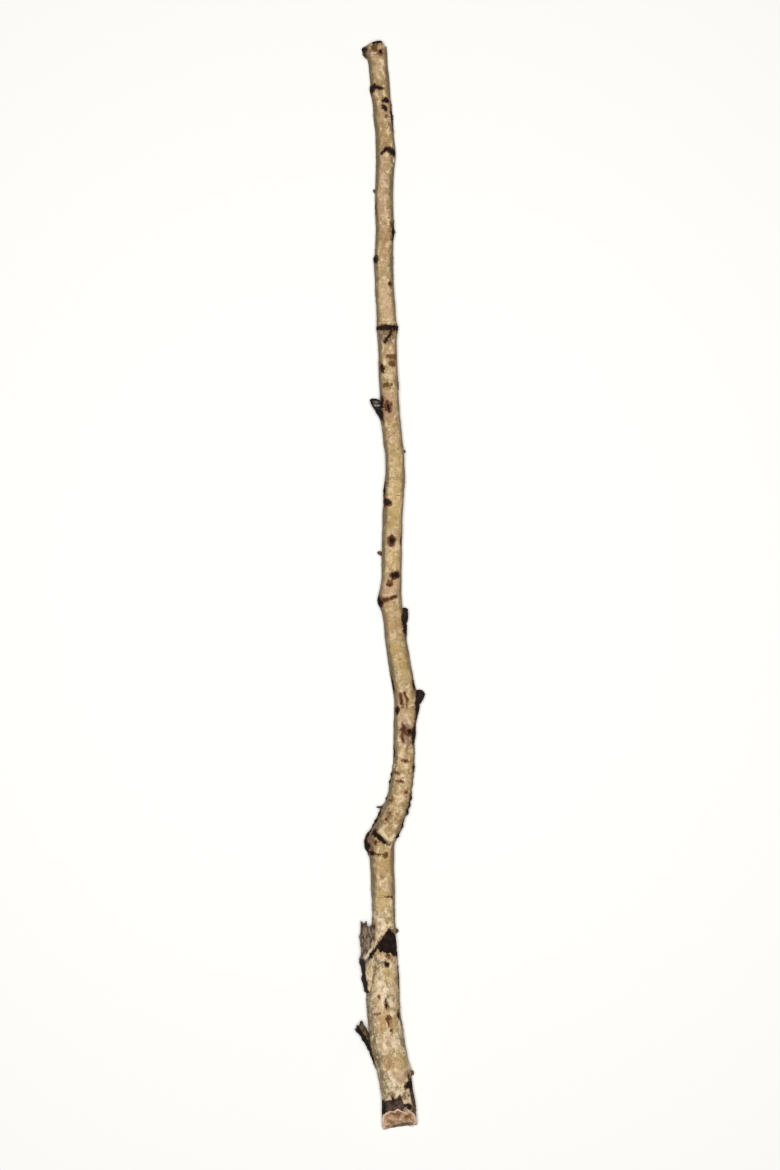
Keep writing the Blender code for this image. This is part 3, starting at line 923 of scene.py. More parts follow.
# The colour of the painted shade on the stem's sides.
FLANK_SHADE_BROWN = (0.168, 0.122, 0.067)
WOOD = (0.66, 0.440, 0.280)
WOOD_SHADE = (0.33, 0.155, 0.062)
WOOD_DARK = (0.12, 0.048, 0.020)
INNER_BARK = (0.88, 0.70, 0.550)
GREY_WOOD = (0.130, 0.095, 0.064)
GREY_SPLINTER = (0.045, 0.032, 0.022)


def lay(tree, colour, shade, value, low, high, share=1.0):
    """Another shade over a colour, from none where the value is at low to this share where it is at high."""
    return tint(tree, ramp(tree, value, low, high, 0.0, share), colour, shade)


def centred(tree, noise, size=1.0):
    """A noise moved to lie round zero, and scaled."""
    return sums(tree, "MULTIPLY", sums(tree, "SUBTRACT", noise, 0.5), size)


def marked(tree, name, uneven):
    """A stored value with its edge made uneven by a noise."""
    return sums(tree, "ADD", attribute(tree, name), uneven)


def make_bark_material():
    """Dry birch bark: cream paper with crosswise grain, worn layers, scars, stains and pale flecks, with
    painted shade darkening its sides.
    """
    made, tree, shader = new_material("birch_bark")
    place = attribute(tree, "straight", "Vector")
    low = attribute(tree, "low")
    drift = cloud(tree, place, 0.055, 0.014, 3)
    streaks = cloud(tree, place, 0.015, 0.0034, 4, 3.0, 0.9)
    blotch = cloud(tree, place, 0.0080, 0.0065, 4, 5.0, 0.6)
    tones = cloud(tree, place, 0.0150, 0.0110, 3, 31.0, 0.5)
    mottle = cloud(tree, place, 0.0046, 0.0034, 4, 23.0)
    speckle = cloud(tree, place, 0.0020, 0.0016, 3, 7.0)
    grain = cloud(tree, place, 0.0009, 0.0060, 4, 11.0)
    dots = cloud(tree, place, 0.0019, 0.0026, 2, 17.0)

    upper = lay(tree, CREAM, TAN, drift, 0.38, 0.62, 0.60)
    for shade, *steps in (
        (TAN, streaks, 0.50, 0.62, 0.62),
        (CREAM, streaks, 0.46, 0.34, 0.50),
        (TAN, mottle, 0.53, 0.65, 0.50),
        (WARM_BROWN, blotch, 0.55, 0.66, 0.40),
    ):
        upper = lay(tree, upper, shade, *steps)
    dimmed = sums(tree, "MULTIPLY", attribute(tree, "dim"), ramp(tree, mottle, 0.60, 0.42, 0.6, 1.0))
    upper = tint(tree, dimmed, upper, DIM_TAN)
    lower = lay(tree, FADED_CREAM, PINK_TAN, tones, 0.52, 0.64, 0.36)
    for shade, *steps in (
        (GOLDEN, tones, 0.49, 0.38, 0.66),
        (GREY_BARK, blotch, 0.50, 0.60, 0.85),
        (CHALK, blotch, 0.44, 0.36, 0.60),
        (MOSS_GREY, mottle, 0.57, 0.66, 0.60),
    ):
        lower = lay(tree, lower, shade, *steps)
    colour = tint(tree, low, upper, lower)
    mottled = attribute(tree, "mottled")
    tone = cloud(tree, place, 0.0056, 0.0048, 2, 41.0, 0.4)
    hue = cloud(tree, place, 0.0074, 0.0060, 2, 53.0, 0.4)
    for noise, low_end, high_end, share, shade in (
        (hue, 0.55, 0.67, 0.42, PINK_TAN),
        (hue, 0.47, 0.35, 0.60, OLIVE_TAN),
        (tone, 0.52, 0.64, 0.62, DULL_TAN),
        (tone, 0.48, 0.36, 0.62, PALE_CREAM),
    ):
        amount = sums(tree, "MULTIPLY", mottled, ramp(tree, noise, low_end, high_end, 0.0, share))
        colour = tint(tree, amount, colour, shade)

    soft = centred(tree, mottle, 0.020)
    worn = marked(tree, "worn", sums(tree, "MULTIPLY", speckle, 0.10))
    furrow = sums(tree, "MULTIPLY", attribute(tree, "furrow"), ramp(tree, mottle, 0.40, 0.60))
    shift = sums(tree, "ADD", sums(tree, "MULTIPLY", streaks, 0.9), sums(tree, "MULTIPLY", blotch, 0.8))
    # Painted shade: the stem's sides darker, as a round stem lit from above looks.
    flank = marked(tree, "flank", sums(tree, "SUBTRACT", shift, 0.85))
    for shade, *steps in (
        (GOLDEN, marked(tree, "golden", soft), -0.0012, 0.0016, 0.66),
        (PINK_TAN, marked(tree, "warm", soft), -0.0030, 0.0020, 0.50),
        (UNDER_PAPER, worn, 0.03, 0.07, 0.42),
        (OLIVE, marked(tree, "olive", soft), -0.0012, 0.0014, 0.66),
        (BROWN, furrow, 0.10, 0.80, 0.50),
        (GREY_BARK, grain, 0.56, 0.74, 0.42),
        (CHALK, grain, 0.45, 0.30, 0.38),
        (CHALK, marked(tree, "chalky", mottle), 0.60, 0.68, 0.70),
        (BROWN, marked(tree, "specked", dots), 0.67, 0.72, 0.70),
        (FLANK_SHADE_BROWN, flank, 0.40, 1.05, 0.84),
        (MAUVE_BROWN, marked(tree, "mauve", soft), -0.0014, 0.0014, 0.75),
    ):
        colour = lay(tree, colour, shade, *steps)

    ragged = sums(tree, "ADD", centred(tree, speckle, 0.0034), centred(tree, mottle, 0.0050))
    pale = ramp(tree, marked(tree, "pale", ragged), -0.0006, 0.0010)
    patchy = sums(tree, "MULTIPLY", pale, ramp(tree, speckle, 0.60, 0.42, 0.25, 0.85))
    colour = tint(tree, patchy, colour, CHALK)
    amber, rust, soot = [marked(tree, name, ragged) for name in ("amber", "rust", "soot")]
    for shade, *steps in (
        (AMBER, amber, -0.0010, 0.0006, 0.92),
        (RUST, amber, 0.0010, 0.0028, 0.60),
        (RED_BROWN, rust, -0.0014, 0.0000, 0.75),
        (RUST, rust, -0.0004, 0.0009, 0.95),
        (BROWN, soot, -0.0020, -0.0002, 0.78),
    ):
        colour = lay(tree, colour, shade, *steps)
    black = lay(tree, SOOT, SOOT_BROWN, mottle, 0.50, 0.66, 0.6)
    bruised = sums(tree, "MULTIPLY", attribute(tree, "bruised"), ramp(tree, mottle, 0.42, 0.58, 0.28, 0.85))
    black = tint(tree, bruised, black, BRUISE)
    cover = ramp(tree, soot, -0.0006, 0.0001)
    colour = tint(tree, cover, colour, black)
    tree.links.new(colour, shader.inputs["Base Color"])

    rough = ramp(tree, grain, 0.3, 0.7, 0.58, 0.78)
    rough = sums(tree, "ADD", rough, sums(tree, "MULTIPLY", cover, 0.15))
    tree.links.new(rough, shader.inputs["Roughness"])
    shader.inputs["Specular IOR Level"].default_value = 0.16
    height = sums(tree, "ADD", grain, sums(tree, "MULTIPLY", speckle, 0.9))
    add_bump(tree, shader, height, 0.0005, 0.9)
    return made


def make_wood_material():
    """A sawn end: rough wood with brown patches and faint rings, and an uneven pale rim of inner bark."""
    made, tree, shader = new_material("sawn_wood")
    place = attribute(tree, "straight", "Vector")
    reach = attribute(tree, "reach")
    blotch = cloud(tree, place, 0.0060, 0.0060, 2, 5.0)
    lumps = cloud(tree, place, 0.0042, 0.0042, 2, 15.0)
    fine = cloud(tree, place, 0.0008, 0.0008, 2, 9.0)
    stain = cloud(tree, place, 0.0056, 0.0060, 2, 27.0)
    wander = sums(tree, "MULTIPLY", lumps, 0.16)
    rings = sums(tree, "SINE", sums(tree, "MULTIPLY", sums(tree, "ADD", reach, wander), 44.0))
    crack = marked(tree, "crack", centred(tree, blotch, 1.6))
    colour = lay(tree, WOOD, WOOD_SHADE, lumps, 0.44, 0.62, 0.7)
    for shade, *steps in (
        (WOOD_SHADE, rings, 0.20, 1.0, 0.22),
        (WOOD_SHADE, fine, 0.52, 0.75, 0.40),
        (WOOD_SHADE, crack, 0.10, 0.60, 0.75),
        (WOOD_DARK, crack, 0.60, 1.15, 0.85),
        (WOOD_SHADE, stain, 0.48, 0.62, 0.85),
        (WOOD_DARK, stain, 0.58, 0.72, 0.70),
        (INNER_BARK, blotch, 0.46, 0.36, 0.5),
    ):
        colour = lay(tree, colour, shade, *steps)
    rim = ramp(tree, sums(tree, "ADD", reach, centred(tree, lumps, 0.60)), 0.78, 0.94)
    rim = sums(tree, "MULTIPLY", rim, ramp(tree, blotch, 0.42, 0.56, 0.25, 0.90))
    colour = tint(tree, rim, colour, INNER_BARK)
    # Greyer and darker towards the bottom of the face.
    colour = lay(tree, colour, GREY_WOOD, marked(tree, "soiled", centred(tree, lumps)), 0.15, 0.75, 0.90)
    tree.links.new(colour, shader.inputs["Base Color"])
    shader.inputs["Roughness"].default_value = 0.85
    shader.inputs["Specular IOR Level"].default_value = 0.2
    height = sums(tree, "ADD", fine, sums(tree, "MULTIPLY", lumps, 1.2))
    add_bump(tree, shader, height, 0.0008, 0.9)
    return made


def make_stub_material(name, dark, light, painted_shade, bare_colours):
    """Old bark of a stub, rough and scaly, with painted shade on its shaded side, and bare wood where it
    broke.

    Past a seam on a stub that has one, the bark is younger and paler, with a pale lip and a black crease.
    """
    made, tree, shader = new_material(name)
    place = attribute(tree, "straight", "Vector")
    scales = cloud(tree, place, 0.0042, 0.0026, 5, 0.0, 0.5)
    fibres = cloud(tree, place, 0.0060, 0.0007, 3, 5.0)
    fine = cloud(tree, place, 0.0008, 0.0008, 2, 9.0)
    tones = cloud(tree, place, 0.0062, 0.0050, 3, 41.0, 0.4)
    colour = tint(tree, ramp(tree, scales, 0.42, 0.60), dark, light)
    colour = lay(tree, colour, dark, fine, 0.55, 0.75, 0.5)
    seam = marked(tree, "seam", centred(tree, scales, 0.006))
    seamed = attribute(tree, "seamed")
    younger = lay(tree, FADED_CREAM, GOLDEN, tones, 0.42, 0.58, 0.5)
    younger = lay(tree, younger, GREY_BARK, scales, 0.48, 0.60, 0.75)
    off_lip = sums(tree, "ABSOLUTE", sums(tree, "ADD", seam, 0.0030))
    lip = ramp(tree, off_lip, 0.0021, 0.0006, 0.0, 0.60)
    colour = tint(tree, sums(tree, "MULTIPLY", lip, seamed), colour, CHALK)
    colour = lay(tree, colour, younger, seam, -0.0010, 0.0040)
    # Painted shade over the stub's shaded side.
    colour = lay(tree, colour, painted_shade, marked(tree, "shade", centred(tree, scales)), 0.25, 0.75)
    crease = ramp(tree, sums(tree, "ABSOLUTE", seam), 0.0021, 0.0011)
    colour = tint(tree, sums(tree, "MULTIPLY", crease, seamed), colour, SOOT)
    wood = tint(tree, ramp(tree, fibres, 0.38, 0.62), *bare_colours)
    colour = tint(tree, attribute(tree, "bare"), colour, wood)
    tree.links.new(colour, shader.inputs["Base Color"])
    tree.links.new(ramp(tree, scales, 0.3, 0.7, 0.92, 0.70), shader.inputs["Roughness"])
    shader.inputs["Specular IOR Level"].default_value = 0.2
    height = sums(tree, "ADD", scales, sums(tree, "MULTIPLY", fibres, 0.7))
    add_bump(tree, shader, height, 0.0008, 0.9)
    return made


def make_plain_material(name, colours, roughness):
    """A small crumb's or flake's finish: three tones that drift from place to place."""
    made, tree, shader = new_material(name)
    place = tree.nodes.new("ShaderNodeTexCoord").outputs["Object"]
    wide = cloud(tree, place, 0.0060, 0.0060, 2)
    fine = cloud(tree, place, 0.0009, 0.0009, 2, 5.0)
    colour = lay(tree, colours[0], colours[1], wide, 0.40, 0.60)
    colour = lay(tree, colour, colours[2], fine, 0.48, 0.66, 0.7)
    tree.links.new(colour, shader.inputs["Base Color"])
    shader.inputs["Roughness"].default_value = roughness
    add_bump(tree, shader, fine, 0.0002, 0.8)
    return made


# The bark, in lengths that share their end rings.


def flank_shade_share(angle):
    """How far down the stem's sides a point lies, a little more on the +Y side, and less again underneath:
    the share of painted shade on the sides.
    """
    lean = np.abs(turned(angle)) + radians(8) * np.sin(angle)
    return np.clip((lean - radians(11)) / radians(44), 0, 1) * (1 - 0.4 * ease(-np.cos(angle), 0.2, 0.8))


def bruised_share(at, angle):
    """Where the black round the butt is paler: on top of its band, and down the -Y side below it."""
    band = ease(np.cos(angle - radians(15)), 0.78, 0.92) * ease(-at, -0.032, -0.023)
    return np.maximum(band, ease(np.cos(angle + radians(72)), 0.86, 0.97) * ease(-at, -0.038, -0.030))


def make_bark(bark):
    even, at, angle = stem_rings()
    plain = along_curve(STEM, 2, at)
    marks = bark_marks(at, angle, plain)
    worn = worn_paper(at, angle)
    radius = plain_radius(at, angle) + bark_relief(at, angle, marks, worn)
    points = stem_points(at, angle, radius)
    normals = surface_normals(points)
    low = ease(-at, -0.235, -0.190)
    wrinkled = np.abs(wrinkle_wave(at, angle))
    clean = ease(-marks["soot"], 0.0004, 0.0016)
    kept = {
        "straight": np.stack([at, plain * np.sin(angle), plain * np.cos(angle)], axis=-1),
        "run": stem_axes(at)[0],
        **marks,
        "worn": worn,
        "low": low,
        "flank": flank_shade_share(angle) * (1 - 0.26 * low),
        "bruised": bruised_share(at, angle),
        "dim": np.interp(at, *zip(*DULLED)),
        "mottled": np.interp(at, *zip(*MOTTLED)),
        "furrow": np.clip(-wrinkle_wave(at, angle), 0, 1),
        "chalky": 0.055 * low - 0.045 + 0.03 * wrinkled,
        "specked": 0.034 * low + 0.06 * wrinkled - 0.010,
        "peeling": (0.12 + 0.88 * low) * clean,
        "open_bark": clean,
        "scarred": ease(marks["soot"], -0.0030, -0.0004) * ease(-marks["soot"], -0.0010, 0.0006),
    }
    pieces = []
    for name, start, end in LENGTHS:
        first, last = np.searchsorted(even, (start, end))
        last = min(last, len(even) - 1)
        rows = slice(first, last + 1)
        quads, i, j = ring_faces(last + 1 - first, SIDES)
        mesh = bpy.data.meshes.new(f"bark_{name}")
        mesh.from_pydata(points[rows].reshape(-1, 3), [], quads)
        for key, values in kept.items():
            store(mesh, key, values[rows].reshape(-1, *values.shape[2:]))
        bake_map(mesh, last + 1 - first, SIDES, i, j)
        mesh.shade_smooth()
        mesh.normals_split_custom_set_from_vertices(normals[rows].reshape(-1, 3))
        mesh.materials.append(bark)
        pieces.append(show(f"bark_{name}", mesh))
    return pieces, points[0], points[-1]


# The sawn faces.

FACE_RINGS = 60
BUTT_INWARD = (0.90, 0.0, -0.43)
TIP_INWARD = (-1.0, 0.0, 0.0)
# Where the pith lies, as shares of the face's size towards +Y and +Z.
BUTT_PITH = (0.06, 0.08)
TIP_PITH = (-0.08, 0.05)
RIM_ROUNDING = 0.0007
FACE_HOLLOW = 0.0010
KERF_DEPTH = 0.00010
CRACK_DEPTH = 0.0005
# Drying cracks: angle, start and end as shares of the radius, half width as a share of it.
BUTT_CRACKS = (
    (38, 0.30, 0.80, 0.170),
    (-8, 0.22, 0.66, 0.150),
    (92, 0.34, 0.86, 0.140),
    (-68, 0.30, 0.90, 0.150),
    (150, 0.30, 0.70, 0.090),
    (-120, 0.20, 0.84, 0.070),
)
TIP_CRACKS = (
    (30, 0.00, 0.70, 0.100),
    (-80, 0.05, 0.82, 0.090),
    (150, 0.02, 0.60, 0.080),
)


def make_sawn_face(name, rim, inward, pith, cracks, wood):
    """The face of a saw cut inside the bark's last ring: bark rim, then wood with drying cracks."""
    sides = len(rim)
    share = np.linspace(1.0, 0.0, FACE_RINGS)[:, None] ** 0.8
    turn = np.arange(sides)[None] * tau / sides
    share, turn = np.broadcast_arrays(share, turn)
    middle = rim.mean(axis=0)
    size = np.linalg.norm(rim - middle, axis=1).mean()
    centre = middle + size * np.array((0.0, pith[0], pith[1]))
    points = centre + (rim[None] - centre) * share[..., None]
    crack = np.zeros(turn.shape)
    for degrees, start, end, width in cracks:
        wobble = 0.10 * np.sin(9 * share + degrees)
        off = np.abs(turned(turn - radians(degrees) - wobble)) * share
        opened = ease(share, start, start + 0.12) * ease(-share, -end, -end + 0.16)
        crack = np.maximum(crack, opened * np.clip(1 - off / width, 0, 1))
    rounded = RIM_ROUNDING * ease(share, 0.93, 1.0)
    hollow = FACE_HOLLOW * ease(-share, -0.90, -0.80)
    reading = share * 0.09
    rough = 0.00030 * patches(reading, turn, 0.0030, 40, 51)
    rough = rough + 0.00045 * patches(reading, turn, 0.0090, 15, 52)
    rough = rough * ease(-share, -0.99, -0.90)
    kerf = KERF_DEPTH * np.sin(points[..., 1] / 0.0016 + 1.4 * np.sin(points[..., 2] / 0.004))
    depth = hollow + rounded + rough + kerf * ease(-share, -0.88, -0.80) + CRACK_DEPTH * crack**0.8
    inward = np.array(inward)
    points = points + inward * depth[..., None]
    points[0] = rim + inward * 0.0003
    quads, i, j = ring_faces(FACE_RINGS - 1, sides)
    last = (FACE_RINGS - 2) * sides
    ends = [(last + k, last + (k + 1) % sides, (FACE_RINGS - 1) * sides) for k in range(sides)]
    corners = quads.tolist() + ends
    if inward[0] < 0:
        corners = [face[::-1] for face in corners]
    shown = (FACE_RINGS - 1) * sides + 1
    flat = points.reshape(-1, 3)[:shown]
    mesh = bpy.data.meshes.new(name)
    mesh.from_pydata(flat, [], corners)
    lowness = (np.cos(turn) + 0.20 * np.sin(turn)) * share
    store(mesh, "straight", flat)
    store(mesh, "reach", share.ravel()[:shown])
    store(mesh, "crack", crack.ravel()[:shown])
    store(mesh, "soiled", ease(-lowness, 0.42, 0.80).ravel()[:shown])
    mesh.shade_smooth()
    mesh.materials.append(wood)
    return show(name, mesh)


# The stubs.

DARK_WOOD = ((0.030, 0.018, 0.011), (0.085, 0.055, 0.032))
# Dark and light bark, the colour of the painted shade, and the two tones of bare wood.
STUB_COLOURS = {
    "black_bark": (SOOT, SOOT_GREY, SOOT, DARK_WOOD),
    "fork_stub_bark": (
        (0.080, 0.058, 0.040),
        (0.27, 0.200, 0.138),
        (0.018, 0.011, 0.008),
        (GREY_SPLINTER, GREY_WOOD),
    ),
    "twig_stub_bark": ((0.034, 0.022, 0.011), (0.130, 0.090, 0.042), SOOT, DARK_WOOD),
    "black_stub_bark": (SOOT, SOOT_GREY, SOOT, ((0.120, 0.100, 0.085), (0.42, 0.385, 0.350))),
    "bud_scales": ((0.016, 0.010, 0.007), (0.060, 0.040, 0.024), SOOT, DARK_WOOD),
}
# The angle of a stub's side with painted shade, where that shade starts and stops along it and how narrow it
# is, and its bark.
STUB_SHADES = {
    "fork_stub": (84, (0.008, 0.041, 0.22), "fork_stub_bark"),
    "twig_stub": (95, (-0.010, 1.0, -0.25), "twig_stub_bark"),
    "knob_stub": (180, (-0.010, 1.0, 0.10), "black_bark"),
    "lying_stub": (180, (-0.010, 1.0, 0.10), "black_bark"),
    "black_stub": (180, (-0.010, 1.0, 0.10), "black_stub_bark"),
}
STUB_SIDES = 72
STUB_STEP = 0.0005
STUB_FADE = 0.010
# The bark seam that crosses the fork's stub, in along and across.
FORK_SEAM = ((0.1700, 0.0115), (0.1505, 0.0228))
INNER_SHARES = (0.92, 0.82, 0.70, 0.56, 0.42, 0.28, 0.14, 0.03)


def stub_reach(kind, turn, out, forward, share):
    """How far a point of a stub's end stands beyond a plain square end."""
    size = np.linalg.norm(out, axis=-1)
    if kind == "torn":
        teeth = 0.45 * np.sin(3 * turn + 1.0) + 0.30 * np.sin(7 * turn)
        splinters = 0.22 * np.sin(17 * turn + 5 * share) + 0.16 * np.sin(31 * turn + 11 * share)
        return size * (teeth + splinters)
    if kind == "slanting":
        splinters = 0.12 * np.sin(13 * turn + 4 * share) + 0.10 * np.sin(29 * turn + 9 * share)
        return size * (0.20 * np.sin(5 * turn + 1.0) - 0.40 * np.sin(turn) + splinters)
    if kind == "sawn":
        return -(out[..., 0] + 0.65 * out[..., 2]) / forward[0]
    return 0.0 * size


def make_stub(name, route, radii, end, shaded_side, shaded, look):
    """A side branch's stub: rough bark round it, and its broken or sawn end closed inwards."""
    rows = [(i, *point, radius) for i, (point, radius) in enumerate(zip(route, radii))]
    length = sum((Vector(b) - Vector(a)).length for a, b in zip(route, route[1:]))
    steps = round(length / STUB_STEP)
    reading = np.linspace(0, len(route) - 1, steps + 1)
    middle = np.stack([along_curve(rows, column, reading) for column in (1, 2, 3)], axis=-1)
    run = np.gradient(middle, axis=0)
    run /= np.linalg.norm(run, axis=-1, keepdims=True)
    side = np.cross(np.array((0.0, 0.0, 1.0)), run)
    side /= np.linalg.norm(side, axis=-1, keepdims=True)
    up = np.cross(run, side)
    turn = np.arange(STUB_SIDES) * tau / STUB_SIDES
    way = np.cos(turn)[None, :, None] * up[:, None] + np.sin(turn)[None, :, None] * side[:, None]
    travel = np.broadcast_to((reading / (len(route) - 1) * length)[:, None], way.shape[:2])
    angle = np.broadcast_to(turn, way.shape[:2])
    seed = len(name)
    coarse = 0.17 if end == "torn" else 0.11
    rough = coarse * radii[1] * patches(travel, angle, 0.0034, 8, seed)
    rough = rough + 0.00028 * patches(travel, angle, 0.0013, 20, seed + 1)
    oval = 1 + 0.05 * np.sin(2 * angle + 3 * travel / length)
    radius = along_curve(rows, 4, reading)[:, None] * oval + rough
    out = way * radius[..., None]
    points = middle[:, None] + out
    rim, forward = out[-1], run[-1]
    follow = np.clip(1 - (length - travel) / STUB_FADE, 0, 1)
    points += forward * (stub_reach(end, turn, rim, forward, 1.0) * follow)[..., None]
    ends = []
    for inner in INNER_SHARES:
        shrunk = rim * inner
        reached = stub_reach(end, turn, shrunk, forward, inner)
        if end == "blunt":
            reached = reached + radii[-1] * 0.5 * (1 - inner**2)
        else:
            reached = reached - radii[-1] * (0.30 * (1 - inner) + 0.06)
        ends.append(middle[-1] + shrunk + forward * reached[:, None])
    rings = np.concatenate([points, np.array(ends)])
    quads = ring_faces(len(rings), STUB_SIDES)[0]
    closing = [tuple((len(rings) - 1) * STUB_SIDES + k for k in range(STUB_SIDES))]
    mesh = bpy.data.meshes.new(name)
    mesh.from_pydata(rings.reshape(-1, 3) - MIDDLE, [], quads.tolist() + closing)
    bare = np.zeros(rings.shape[:2])
    if end == "sawn":
        bare[len(points) :] = 0.8 * ease(1 - np.array(INNER_SHARES), 0.34, 0.66)[:, None]
        worn_end = ease(travel, length - 0.0052, length - 0.0034)
        worn_end = worn_end * (1 - ease(travel, length - 0.0016, length - 0.0004))
        bare[: len(points)] = 0.9 * worn_end * ease(np.cos(angle), 0.70, 0.95)
    elif end != "blunt":
        bare[len(points) :] = 1.0
    around = np.broadcast_to(turn, rings.shape[:2])
    reach_along = np.concatenate([travel[:, 0], length - radii[-1] * (1 - np.array(INNER_SHARES))])
    straight = np.stack(
        [
            np.broadcast_to(reach_along[:, None], rings.shape[:2]),
            radii[1] * np.sin(around),
            radii[1] * np.cos(around),
        ],
        axis=-1,
    )
    start, stop, narrow = shaded
    # The share of painted shade: darker towards the shaded side, none on bare wood.
    shade = ease(np.cos(around - radians(shaded_side)), narrow, narrow + 0.5) * (1 - bare)
    far = reach_along[:, None]
    shade = shade * ease(far, start, start + 0.006) * (1 - 0.9 * ease(far, stop, stop + 0.006))
    (along, across), (far_along, far_across) = FORK_SEAM
    run_along, run_across = far_along - along, far_across - across
    size = np.hypot(run_along, run_across)
    off = ((rings[..., 0] - along) * -run_across + (rings[..., 1] - across) * run_along) / size
    store(mesh, "seam", off.ravel() if name == "fork_stub" else np.full(off.size, -1.0))
    store(mesh, "seamed", ease(rings[..., 0], 0.1545, 0.1590).ravel())
    store(mesh, "straight", straight.reshape(-1, 3))
    store(mesh, "bare", bare.ravel())
    store(mesh, "shade", shade.ravel())
    mesh.shade_smooth()
    mesh.set_sharp_from_angle(angle=radians(60))
    mesh.materials.append(look)
    return show(name, mesh)


# The buds.

BUD_SIDES = 20
BUD_RINGS = 14


def make_buds(name, rows, look):
    """Small blunt buds and spurs, each rooted in the bark and covered with a few overlapping scales."""
    points, faces, straight = [], [], []
    for along, degrees, length, radius, lean in rows:
        at, angle = np.array([along]), np.array([radians(degrees)])
        foot = stem_points(at, angle, plain_radius(at, angle))[0]
        out = foot - stem_points(at, angle, np.zeros(1))[0]
        out /= np.linalg.norm(out)
        aim = Vector(out) * cos(radians(lean)) + Vector((1, 0, 0)) * sin(radians(lean))
        turn = np.array(aim.to_track_quat("Z", "Y").to_matrix())
        start = len(points) * BUD_SIDES
        for ring in range(BUD_RINGS):
            share = ring / (BUD_RINGS - 1)
            rise = -1.5 * radius + share * (length + 1.5 * radius)
            tip = np.sqrt(max(1 - max(share - 0.78, 0) ** 2 / 0.22**2, 0.0004))
            scale = 1 + 0.10 * sin(share * 26) + 0.05 * sin(5 * share + degrees)
            size = radius * (1.22 - 0.62 * share) * tip * scale
            around = np.arange(BUD_SIDES) * tau / BUD_SIDES
            wide = size * (1 + 0.09 * np.sin(3 * around + 5 * share) + 0.04 * np.sin(7 * around))
            rises = np.full(BUD_SIDES, rise)
            local = np.stack([wide * np.cos(around), wide * np.sin(around), rises], axis=-1)
            points.append(local @ turn.T + foot)
            straight.append(local[:, (2, 0, 1)] + along)
        quads = ring_faces(BUD_RINGS, BUD_SIDES)[0] + start
        faces += quads.tolist()
        last = start + (BUD_RINGS - 1) * BUD_SIDES
        faces.append(tuple(last + k for k in range(BUD_SIDES)))
    mesh = bpy.data.meshes.new(name)
    mesh.from_pydata(np.concatenate(points), [], faces)
    store(mesh, "straight", np.concatenate(straight))
    mesh.shade_smooth()
    mesh.set_sharp_from_angle(angle=radians(60))
    mesh.materials.append(look)
    return show(name, mesh)


# Crumbs on the bark: lenticels, curling flakes of paper and warts, scattered over each length.


def curved_patch(length, width, height, cells_along, cells_around, bend):
    """A small patch of bark, domed and bent to the stem's roundness, as a grid of points."""
    u = np.linspace(-1, 1, cells_along + 1)[:, None]
    v = np.linspace(-1, 1, cells_around + 1)[None]
    u, v = np.broadcast_arrays(u, v)
    edge = np.clip(1 - u**2, 0, 1) * np.clip(1 - v**2, 0, 1)
    around = v * width / 2
    drop = bend * (1 - np.cos(around / bend))
    narrow = np.sqrt(np.clip(1 - 0.8 * v**2, 0, 1))
    top = np.stack([u * narrow * length / 2, around, height * edge**0.5 - drop], axis=-1)
    return u, v, top


def patch_mesh(name, top, thickness):
    """A closed thin mesh from a grid of points, as thick as given."""
    rows, columns = top.shape[:2]
    under = top - np.array((0.0, 0.0, thickness))
    count = rows * columns
    i, j = np.meshgrid(np.arange(rows - 1), np.arange(columns - 1), indexing="ij")
    a = (i * columns + j).ravel()
    upper = np.stack([a, a + columns, a + columns + 1, a + 1], axis=-1)
    faces = upper.tolist() + (upper[:, ::-1] + count).tolist()
    rim = [(0, j) for j in range(columns)] + [(i, columns - 1) for i in range(1, rows)]
    rim += [(rows - 1, j) for j in range(columns - 2, -1, -1)] + [(i, 0) for i in range(rows - 2, 0, -1)]
    rim = [i * columns + j for i, j in rim]
    for k, near in enumerate(rim):
        far = rim[(k + 1) % len(rim)]
        faces.append((near, far, far + count, near + count))
    mesh = bpy.data.meshes.new(name)
    mesh.from_pydata(np.concatenate([top.reshape(-1, 3), under.reshape(-1, 3)]), [], faces)
    mesh.shade_smooth()
    return mesh


def lenticel_shape():
    top = curved_patch(0.0011, 0.0034, 0.00026, 2, 6, 0.0098)[2]
    return patch_mesh("lenticel_shape", top, 0.0003)


def flake_shape():
    """A flake of paper, held along one edge, whose free edge curls up and back."""
    u, v, top = curved_patch(0.0042, 0.0050, 0.0, 3, 6, 0.0098)
    free = (v + 1) / 2
    ragged = 1 + 0.16 * np.sin(7 * v + 3 * u)
    top[..., 0] = u * 0.0021 * ragged * (1 - 0.25 * free**2)
    lift = 0.0016 * free**2.2
    top[..., 2] += lift + 0.00008
    top[..., 1] -= 0.0012 * free**3
    return patch_mesh("flake_shape", top, 0.00008)


def wart_shape():
    top = curved_patch(0.0011, 0.0012, 0.00042, 4, 4, 0.0098)[2]
    return patch_mesh("wart_shape", top, 0.0003)


